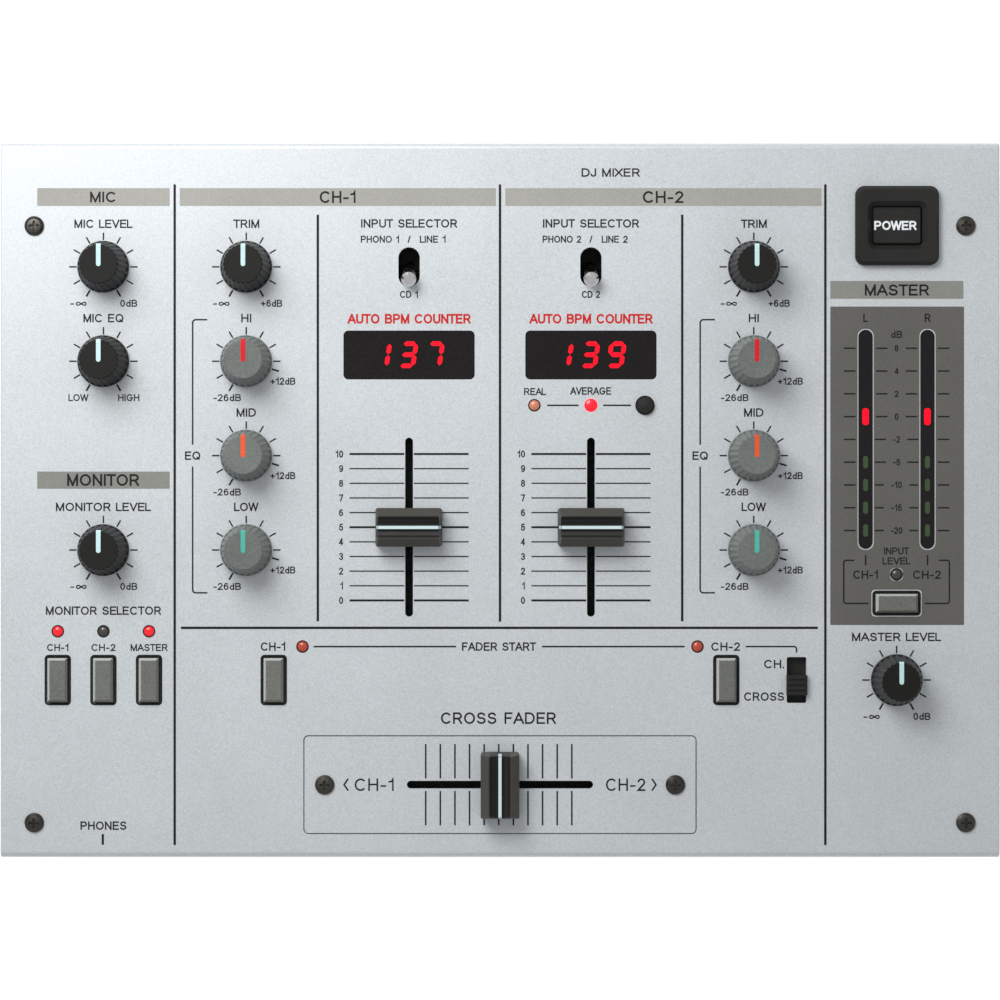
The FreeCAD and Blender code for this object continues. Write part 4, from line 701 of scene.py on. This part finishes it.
def meter_openings():
    """Openings in the meter field for the lenses, the level button and its lamp."""
    holes = []
    for lens in METER_LENSES:
        size = lens[1] - lens[0]
        holes.append((middle(lens), size.x, size.y, size.x / 2))
    low, high = box("input_level_button")
    holes.append(((low + high) / 2, high.x - low.x - 0.4, high.y - low.y - 0.4, 1.2))
    lamp = INPUT_LEVEL_LAMP
    holes.append((middle(lamp), lamp[1].x - lamp[0].x, lamp[1].x - lamp[0].x, 1.5))
    return [rounded_outline(spot.x, spot.y, width + 2 * METER_RIM, height + 2 * METER_RIM, radius, 6)
            for spot, width, height, radius in holes]


def panel_rules(black):
    """The long dividing lines."""
    for side in (-1, 1):
        black.rectangle(side * SIDE_RULE, -4.7, RULE, 211.4)
        black.rectangle(side * CHANNEL_RULE, 26.25, RULE, 130.1)
    black.rectangle(0.0, 31.05, RULE, 139.9)
    black.rectangle(-0.2, -40.9, 203.8, RULE)


def header_legends(black):
    """Names of the sections on their bars."""
    black.text("MIC", -127.0, HEADER_Y, 3.4, 8.3, weight=0.17)
    black.text("CH-1", -51.9, HEADER_Y, 3.8, 11.6, weight=0.16)
    black.text("CH-2", 52.2, HEADER_Y, 3.8, 13.0, weight=0.16)
    black.text("MONITOR", -127.0, 6.4, 3.8, 23.0, weight=0.17)
    black.text("MASTER", 127.0, 67.2, 3.6, 20.5, weight=0.17)
    black.text("DJ MIXER", 35.4, 104.8, CAPTION, 18.6)


def knob_scale(black, knob, last):
    """Radial marks round a knob, from the first mark to the last, clockwise from its rear."""
    x, y = centre(knob)
    angles = [angle for angle in range(FIRST_MARK, LAST_MARK + 1, 30) if angle <= last]
    if angles[-1] != last:
        angles.append(last)
    for angle in angles:
        width = THICK_TICK if angle in (FIRST_MARK, last) else TICK
        black.ray(x, y, angle, TICK_START, TICK_END, width)


def knob_legends(black):
    """Scales, names and end values of the knobs."""
    for knob in KNOBS_WITH_FULL_SCALE:
        knob_scale(black, knob, LAST_MARK)
    for knob, words, width in (
            ("mic_level_knob", "MIC LEVEL", 18.6), ("mic_eq_knob", "MIC EQ", 12.8),
            ("monitor_level_knob", "MONITOR LEVEL", 30.4),
            ("master_level_knob", "MASTER LEVEL", 28.5),
            ("trim_knob_1", "TRIM", 8.3), ("trim_knob_2", "TRIM", 8.3)):
        x, y = centre(knob)
        black.text(words, x, y + HEADING_RISE, CAPTION, width)
        low, high = ("LOW", "HIGH") if knob == "mic_eq_knob" else ("-∞", "0dB")
        if knob.startswith("trim"):
            high = "+6dB"
        black.text(low, x - 8.0, y - END_VALUE_DROP, SMALL, 6.4 if low == "LOW" else 5.2)
        black.text(high, x + 8.1, y - END_VALUE_DROP, SMALL, 5.4 if high == "0dB" else 6.8)
    for channel in CHANNELS:
        for band, words, width in BANDS:
            knob = f"{band}_knob_{channel}"
            knob_scale(black, knob, LAST_TONE_MARK)
            x, y = centre(knob)
            black.text(words, x, y + HEADING_RISE, CAPTION, width)
            black.text("-26dB", x - 6.1, y - END_VALUE_DROP, SMALL, 8.8)
            black.text("+12dB", x + 11.7, y - 6.4, SMALL, 8.0)


def equaliser_brackets(black):
    """The bracket beside each channel's three tone knobs, broken by its name."""
    for channel in CHANNELS:
        knob_x, top = centre(f"high_knob_{channel}")
        bottom = centre(f"low_knob_{channel}")[1]
        x = knob_x - 17.15
        name_y = (top + bottom) / 2
        for end in (top + 13.3, bottom - 13.7):
            reach = name_y + math.copysign(3.5, end - name_y)
            black.line(corner_path([(x, reach), (x, end), (x + 4.7, end)], 1.0), FINE_RULE)
        black.text("EQ", x, name_y, CAPTION, 4.9)


def channel_legends(black, red):
    """Legends between the faders and the rear of each channel."""
    for channel in CHANNELS:
        x = centre(f"channel_fader_cap_{channel}")[0]
        black.text("INPUT SELECTOR", x, 88.5, CAPTION, 30.7)
        black.text(f"PHONO {channel}", x - 9.3, 83.45, SMALL, 12.3)
        black.text("/", x, 83.45, SMALL)
        black.text(f"LINE {channel}", x + 7.6, 83.45, SMALL, 8.3)
        black.text(f"CD {channel}", x, 65.8, SMALL, 5.8)
        red.text("AUTO BPM COUNTER", x, 58.0, 3.1, 39.4, weight=0.19)
        fader_scale(black, x)
    black.text("REAL", 11.2, 34.7, SMALL, 7.0)
    black.text("AVERAGE", 29.0, 34.9, 2.4, 13.1)
    for start, end in ((15.1, 25.1), (33.0, 41.9)):
        black.rectangle((start + end) / 2, 30.3, end - start, FINE_RULE)


def fader_scale(black, x):
    """Marks on both sides of a channel fader, numbered from 0 to 10."""
    rest = centre("channel_fader_cap_1")[1]
    for mark in range(FADER_MARKS):
        y = rest + (mark - FADER_MARKS // 2) * FADER_MARK_PITCH
        for side in (-1, 1):
            black.rectangle(x + side * 10.3, y, 17.5, 0.64 if mark % 5 == 0 else 0.38)
        black.text(str(mark), x - 21.1, y, SMALL, align=1.0)


def fader_start_legends(black):
    """The line of legends along the fader-start buttons and lamps."""
    y = START_LINE_Y
    for start, end in ((-59.6, -14.1), (13.4, 59.1)):
        black.rectangle((start + end) / 2, y, end - start, FINE_RULE)
    black.line(corner_path([(78.6, y), (94.9, y), (94.9, y - 1.9)], 0.8), FINE_RULE)
    black.text("FADER START", -0.3, y, CAPTION, 23.7)
    black.text("CH-1", -72.6, y, CAPTION, 7.9)
    black.text("CH-2", 72.2, y, CAPTION, 9.2)
    black.text("CH.", 87.7, -52.5, CAPTION, 6.4)
    black.text("CROSS", 84.5, -62.9, CAPTION, 12.8)


def button_surrounds(black):
    """A black line round the opening of each rectangular button: painted shade that widens the dark
    gap.
    """
    for button in BUTTONS:
        low, high = box(button)
        outline = rounded_outline((low.x + high.x) / 2, (low.y + high.y) / 2,
                                  high.x - low.x - 0.8, high.y - low.y - 0.8, 1.1, 6)
        # Painted shade: a black line on the panel beside each opening, standing in for the dark gap.
        black.line(outline + outline[:1], 0.45)


def crossfader_legends(black, plate):
    """The crossfader's name, ends and marks."""
    black.text("CROSS FADER", -0.5, -69.8, 3.7, 36.8, weight=0.15)
    x, y = centre("crossfader_cap")
    for mark in range(FADER_MARKS):
        place = x - 0.4 + (mark - FADER_MARKS // 2) * CROSSFADER_MARK_PITCH
        for side in (-1, 1):
            plate.rectangle(place, y + side * 7.5, 0.5, 11.0)
    for channel, side in zip(CHANNELS, (-1, 1)):
        plate.text(f"CH-{channel}", side * 40.2, y, 4.0, 12.6, weight=0.13)
        tip = side * 49.9
        plate.line([(tip - side * 1.3, y + 1.9), (tip, y), (tip - side * 1.3, y - 1.9)], 0.5)


def monitor_legends(black):
    """Legends of the monitor section and the headphone socket."""
    x, y = centre("monitor_button_2")
    black.text("MONITOR SELECTOR", x, -35.4, CAPTION, 36.8)
    for name, words, width in (("monitor_button_1", "CH-1", 6.9), ("monitor_button_2", "CH-2", 7.7),
                               ("monitor_button_master", "MASTER", 11.8)):
        black.text(words, centre(name)[0], -47.2, SMALL, width)
    black.text("PHONES", x, -104.2, CAPTION, 14.7)
    black.rectangle(x - 0.2, -108.6, 0.7, 3.4)


def meter_legends(black):
    """Scale, numbers and names in the meter field."""
    left, right = METER_LENSES
    for lens, words in ((left, "L"), (right, "R")):
        x = middle(lens).x
        black.text(words, x, 58.3, 2.7)
        black.rectangle(x, -19.25, FINE_RULE, 3.3)
    hub = (middle(left).x + middle(right).x) / 2
    black.text("dB", hub, 53.0, SMALL, 3.6)
    rows = sorted({round(middle(lamp).y, 2) for lamp in METER_LAMPS}, reverse=True)
    for y, words in zip(rows, ("8", "4", "2", "0", "-2", "-5", "-10", "-15", "-20")):
        black.text(words, hub, y, 2.1)
        reach = 2.5 + 0.9 * max(len(words) - 1, 0)
        for side in (-1, 1):
            inner = (7.0 + reach) / 2 if len(words) < 3 else (7.0 + 4.0) / 2
            length = 3.6 if len(words) < 3 else 2.8
            black.rectangle(hub + side * inner, y, length, TICK)
            black.rectangle(hub + side * 15.0, y, 3.7, TICK)
    for side in (-1, 1):
        x = hub + side * 16.9
        path = [(hub + side * 13.5, -19.3), (x, -19.3), (x, -33.1), (hub + side * 9.0, -33.1)]
        if side > 0:
            path.reverse()
        black.line(corner_path(path, 0.8), FINE_RULE)
    black.text("INPUT", hub, -16.3, SMALL, 8.0)
    black.text("LEVEL", hub, -19.5, SMALL, 9.0)
    black.text("CH-1", hub - 9.9, -23.9, CAPTION, 8.0)
    black.text("CH-2", hub + 9.7, -23.9, CAPTION, 8.9)


WINDOWS = islands("display_windows")
DISPLAY_WINDOWS = [pair for pair in WINDOWS if pair[1].x - pair[0].x > 20.0]
METER_LENSES = [pair for pair in WINDOWS if pair[1].x - pair[0].x < 20.0]
METER_LAMPS = islands("meter_leds")
LAMPS = islands("indicator_leds")
INPUT_LEVEL_LAMP = max(LAMPS, key=lambda pair: pair[1].x)


def panel_print():
    """All that is printed on the panel, and the painted shade round the button openings."""
    bars = Print("panel_grey_bars", BAR_INK)
    dark_bars = Print("panel_dark_bars", DARK_BAR_INK)
    meter = Print("panel_meter_field", METER_INK)
    black = Print("panel_black_legends_and_gap_shade", BLACK_INK, rise=0.08)
    red = Print("panel_red_legends", RED_INK, rise=0.08)
    plate = Print("crossfader_plate_legends", BLACK_INK, level=box("crossfader_plate")[1].z,
                  rise=0.06)
    panel_areas(bars, dark_bars, meter)
    panel_rules(black)
    header_legends(black)
    knob_legends(black)
    equaliser_brackets(black)
    channel_legends(black, red)
    fader_start_legends(black)
    button_surrounds(black)
    crossfader_legends(black, plate)
    monitor_legends(black)
    meter_legends(black)
    for sheet in (bars, dark_bars, meter, black, red, plate):
        sheet.finish()


# Lit areas.

SEGMENTS_LIT = {"1": "bc", "3": "abcdg", "7": "abc", "9": "abcdfg"}
SEGMENT_GAP = 0.12
DIGIT_PITCH = 8.45
DIGIT_SIZE = (4.1, 7.1)
DIGIT_STROKE = 1.45
DIGIT_SLANT = 0.15
LENS_RADIUS = 1.7
BRIGHT_LENS_RADIUS = 2.25
RIM_RADIUS = 1.85
RIM_WIDTH = 0.36


def digit(sheet, figure, x, y):
    """One figure of seven segments, leaning to the right."""
    w, h = (size / 2 for size in DIGIT_SIZE)
    ends = {
        "a": ((-w, h), (w, h)), "b": ((w, h), (w, 0)), "c": ((w, 0), (w, -h)),
        "d": ((-w, -h), (w, -h)), "f": ((-w, h), (-w, 0)), "g": ((-w, 0), (w, 0)),
    }
    for name in SEGMENTS_LIT[figure]:
        a, b = (Vector(end) for end in ends[name])
        along = (b - a).normalized()
        a, b = a + along * SEGMENT_GAP, b - along * SEGMENT_GAP
        across = Vector((-along.y, along.x)) * DIGIT_STROKE / 2
        tip = along * DIGIT_STROKE / 2
        outline = [a, a + tip - across, b - tip - across, b, b - tip + across, a + tip + across]
        sheet.plate([(x + p.x + p.y * DIGIT_SLANT, y + p.y) for p in outline])


def display_digits():
    """The tempo shown in each display."""
    level = DISPLAY_WINDOWS[0][1].z
    sheet = Print("display_digits", DIGIT_LIGHT, level=level)
    for window, figures in zip(DISPLAY_WINDOWS, ("137", "139")):
        x, y = middle(window).x - 0.3, middle(window).y + 0.1
        for place, figure in enumerate(figures):
            digit(sheet, figure, x + (place - 1) * DIGIT_PITCH, y)
    sheet.finish()


def meter_segments():
    """Segments of the level meters: the one at 0 dB is lit, and the lowest four show faintly."""
    level = METER_LENSES[0][1].z
    lit = Print("meter_lit_segments", SEGMENT_LIGHT, level=level)
    dim = Print("meter_dim_segments", SEGMENT_DIM, level=level)
    columns = sorted({round(middle(lamp).x, 1) for lamp in METER_LAMPS})
    for x in columns:
        rows = sorted((middle(lamp).y for lamp in METER_LAMPS
                       if abs(middle(lamp).x - x) < 1.0), reverse=True)
        lit.rounded(x, rows[3], 2.1, 5.4, 0.9)
        for y in rows[5:]:
            dim.rounded(x, y, 1.6, 4.0, 0.8)
    lit.finish()
    dim.finish()


def dome(name, x, y, bottom, top, radius, material):
    """A round lens with a domed top, closed underneath."""
    mesh = bmesh.new()
    steps = 6
    sides = 32
    shoulder = bottom + (top - bottom) * 0.35
    levels = [(radius, bottom), (radius, shoulder)]
    for step in range(1, steps):
        angle = math.radians(90 * step / steps)
        levels.append((radius * math.cos(angle), shoulder + (top - shoulder) * math.sin(angle)))
    rounds = []
    for reach, z in levels:
        rounds.append([mesh.verts.new(((x + reach * math.cos(math.tau * i / sides)) * MM,
                                       (y + reach * math.sin(math.tau * i / sides)) * MM, z * MM))
                       for i in range(sides)])
    for low, high in zip(rounds, rounds[1:]):
        for i in range(sides):
            j = (i + 1) % sides
            mesh.faces.new((low[i], low[j], high[j], high[i]))
    mesh.faces.new(reversed(rounds[0]))
    mesh.faces.new(rounds[-1])
    smooth(make_piece(name, mesh, material, "chassis"))


def lamp_lenses():
    """Lenses of the indicator lamps, lit or dark, each in a black rim."""
    finishes = {
        "bright": lamp_plastic("lamp_bright_red", (0.78, 0.003, 0.012), 1.6),
        "red": lamp_plastic("lamp_red", (0.66, 0.008, 0.014), 0.6),
        "faint": lamp_plastic("lamp_faint_red", (0.45, 0.055, 0.025), 0.1),
        "amber": lamp_plastic("lamp_amber", (0.60, 0.22, 0.13), 0.1),
        "dark": lamp_plastic("lamp_dark", (0.05, 0.046, 0.042), 0.0),
    }
    order = ("red", "dark", "red", "faint", "amber", "bright", "faint", "dark")
    rims = Print("lamp_rims", BLACK_INK, rise=0.06)
    for number, (lamp, state) in enumerate(zip(LAMPS, order), 1):
        spot = middle(lamp)
        radius = BRIGHT_LENS_RADIUS if state == "bright" else LENS_RADIUS
        dome(f"lamp_lens_{number}", spot.x, spot.y, PANEL_TOP - 0.8, lamp[1].z + 0.05, radius,
             finishes[state])
        if state != "bright":
            rims.line(ring(spot.x, spot.y, RIM_RADIUS, RIM_RADIUS), RIM_WIDTH)
    rims.finish()


# Marks that ride on the controls.

STRIP_RISE = 0.05
STRIP_SINK = 0.15
POINTER_HALF_WIDTH = 0.72
CAP_LINE_HALF_WIDTH = 0.5


def painted_strip(sheet, node, places, across, half_width, depth):
    """A closed strip over a node's surface, under the places, standing a little proud.

    Only the part that lies less than a depth below the sheet's level is painted."""
    tree = surface(node)
    top = box(node)[1].z
    sections = []
    for x, y in places:
        spot, normal, _, _ = tree.ray_cast(Vector((x, y, top + 5)) * MM, Vector((0, 0, -1)))
        if spot is None or spot.z / MM < top - depth:
            continue
        corners = ((-1, -STRIP_SINK), (1, -STRIP_SINK), (1, STRIP_RISE), (-1, STRIP_RISE))
        sections.append([sheet.mesh.verts.new(spot + (across * side * half_width + normal * out) * MM)
                         for side, out in corners])
    for a, b in zip(sections, sections[1:]):
        for i in range(4):
            j = (i + 1) % 4
            sheet.mesh.faces.new((a[i], a[j], b[j], b[i]))
    sheet.mesh.faces.new(reversed(sections[0]))
    sheet.mesh.faces.new(sections[-1])


def knob_pointer(knob, material):
    """A painted line from the middle of a knob's top over its rounded rim."""
    x, y = centre(knob)
    half_width = POINTER_HALF_WIDTH
    sheet = Print(f"{knob}_pointer", material, level=box(knob)[1].z, rise=0.04)
    sheet.plate(rounded_outline(x, y, 2 * half_width, 2 * half_width, half_width - 0.01, 6))
    places = [(x, y + 0.15 * step) for step in range(60)]
    painted_strip(sheet, knob, places, Vector((1, 0, 0)), half_width, 1.4)
    smooth(sheet.finish(knob))


def knob_pointers():
    """Pointers of all knobs. Each tone band has its own colour."""
    pale = ink("pointer_pale", (0.58, 0.80, 0.80))
    colours = {
        "high": ink("pointer_red", (0.72, 0.010, 0.02)),
        "mid": ink("pointer_orange", (0.82, 0.10, 0.03)),
        "low": ink("pointer_teal", (0.085, 0.47, 0.38)),
    }
    for knob in KNOBS_WITH_FULL_SCALE:
        knob_pointer(knob, pale)
    for channel in CHANNELS:
        for band, colour in colours.items():
            knob_pointer(f"{band}_knob_{channel}", colour)


def cap_lines():
    """White line along the ridge of each fader cap and down its two ends."""
    for cap, body, along in (("channel_fader_cap_1", "channel_fader_1", Vector((1, 0, 0))),
                             ("channel_fader_cap_2", "channel_fader_2", Vector((1, 0, 0))),
                             ("crossfader_cap", "crossfader", Vector((0, 1, 0)))):
        x, y = centre(cap)
        low, high = box(cap)
        reach = (high - low).dot(along) / 2 - 0.02
        steps = [reach * step / 60 for step in range(-60, 61)]
        places = [(x + along.x * step, y + along.y * step) for step in steps]
        sheet = Print(f"{cap}_line", WHITE_INK)
        across = Vector((-along.y, along.x, 0))
        painted_strip(sheet, cap, places, across, CAP_LINE_HALF_WIDTH, 6.0)
        smooth(sheet.finish(body))


def power_legend():
    """The word on the power button."""
    white = ink("legend_white_ink", (0.86, 0.9, 0.92))
    sheet = Print("power_button_legend", white, level=box("power_button")[1].z, rise=0.06)
    x, y = centre("power_button")
    sheet.text("POWER", x - 0.6, y, 2.9, 13.5, weight=0.2)
    sheet.finish("power_button")


# Stage: floor, light and camera.

FLOOR_GLOW = 0.8
FLOOR_REACH = 4.0
CAMERA_HEIGHT = 1.16
CAMERA_LENS = 130.5


def make_floor():
    """A pale floor under the object, level with its feet."""
    finish = Finish("studio_floor", (0.88, 0.88, 0.88), 0.9, mottle=0.01, grain=300.0, relief=0.02,
                    wear=0.01)
    finish.glow((1.0, 1.0, 1.0), FLOOR_GLOW)
    mesh = bpy.data.meshes.new("studio_floor")
    corners = [(FLOOR_REACH * x, FLOOR_REACH * y, 0) for x, y in ((-1, -1), (1, -1), (1, 1), (-1, 1))]
    mesh.from_pydata(corners, [], [(0, 1, 2, 3)])
    mesh.materials.append(finish.material)
    floor = bpy.data.objects.new("studio_floor", mesh)
    bpy.context.scene.collection.objects.link(floor)


def soft_light(name, place, size, power):
    """A square soft box aimed at the middle of the panel."""
    lamp = bpy.data.lights.new(name, "AREA")
    lamp.size = size
    lamp.energy = power
    holder = bpy.data.objects.new(name, lamp)
    holder.location = place
    aim = Vector((0.0, 0.0, PANEL_TOP * MM)) - Vector(place)
    holder.rotation_euler = aim.to_track_quat("-Z", "Y").to_euler()
    holder.visible_camera = False
    bpy.context.scene.collection.objects.link(holder)


def make_light():
    """A key light from the upper left and an even pale surround."""
    soft_light("key_light", (-0.25, 0.38, 0.62), 0.4, 3.9)
    world = bpy.data.worlds.new("surround")
    world.use_nodes = True
    background = world.node_tree.nodes["Background"]
    background.inputs["Color"].default_value = (0.985, 0.99, 1.0, 1.0)
    background.inputs["Strength"].default_value = 0.46
    bpy.context.scene.world = world
    bpy.context.scene.view_settings.view_transform = "Standard"


def make_camera():
    """A long lens straight above the panel. Its height is in metres above the panel's top."""
    camera = bpy.data.cameras.new("camera")
    camera.lens = CAMERA_LENS
    camera.sensor_width = 36.0
    holder = bpy.data.objects.new("camera", camera)
    holder.location = (0.0, 0.0, PANEL_TOP * MM + CAMERA_HEIGHT)
    bpy.context.scene.collection.objects.link(holder)
    bpy.context.scene.camera = holder


dress_cad()
panel_print()
display_digits()
meter_segments()
lamp_lenses()
knob_pointers()
cap_lines()
power_legend()
make_floor()
make_light()
make_camera()
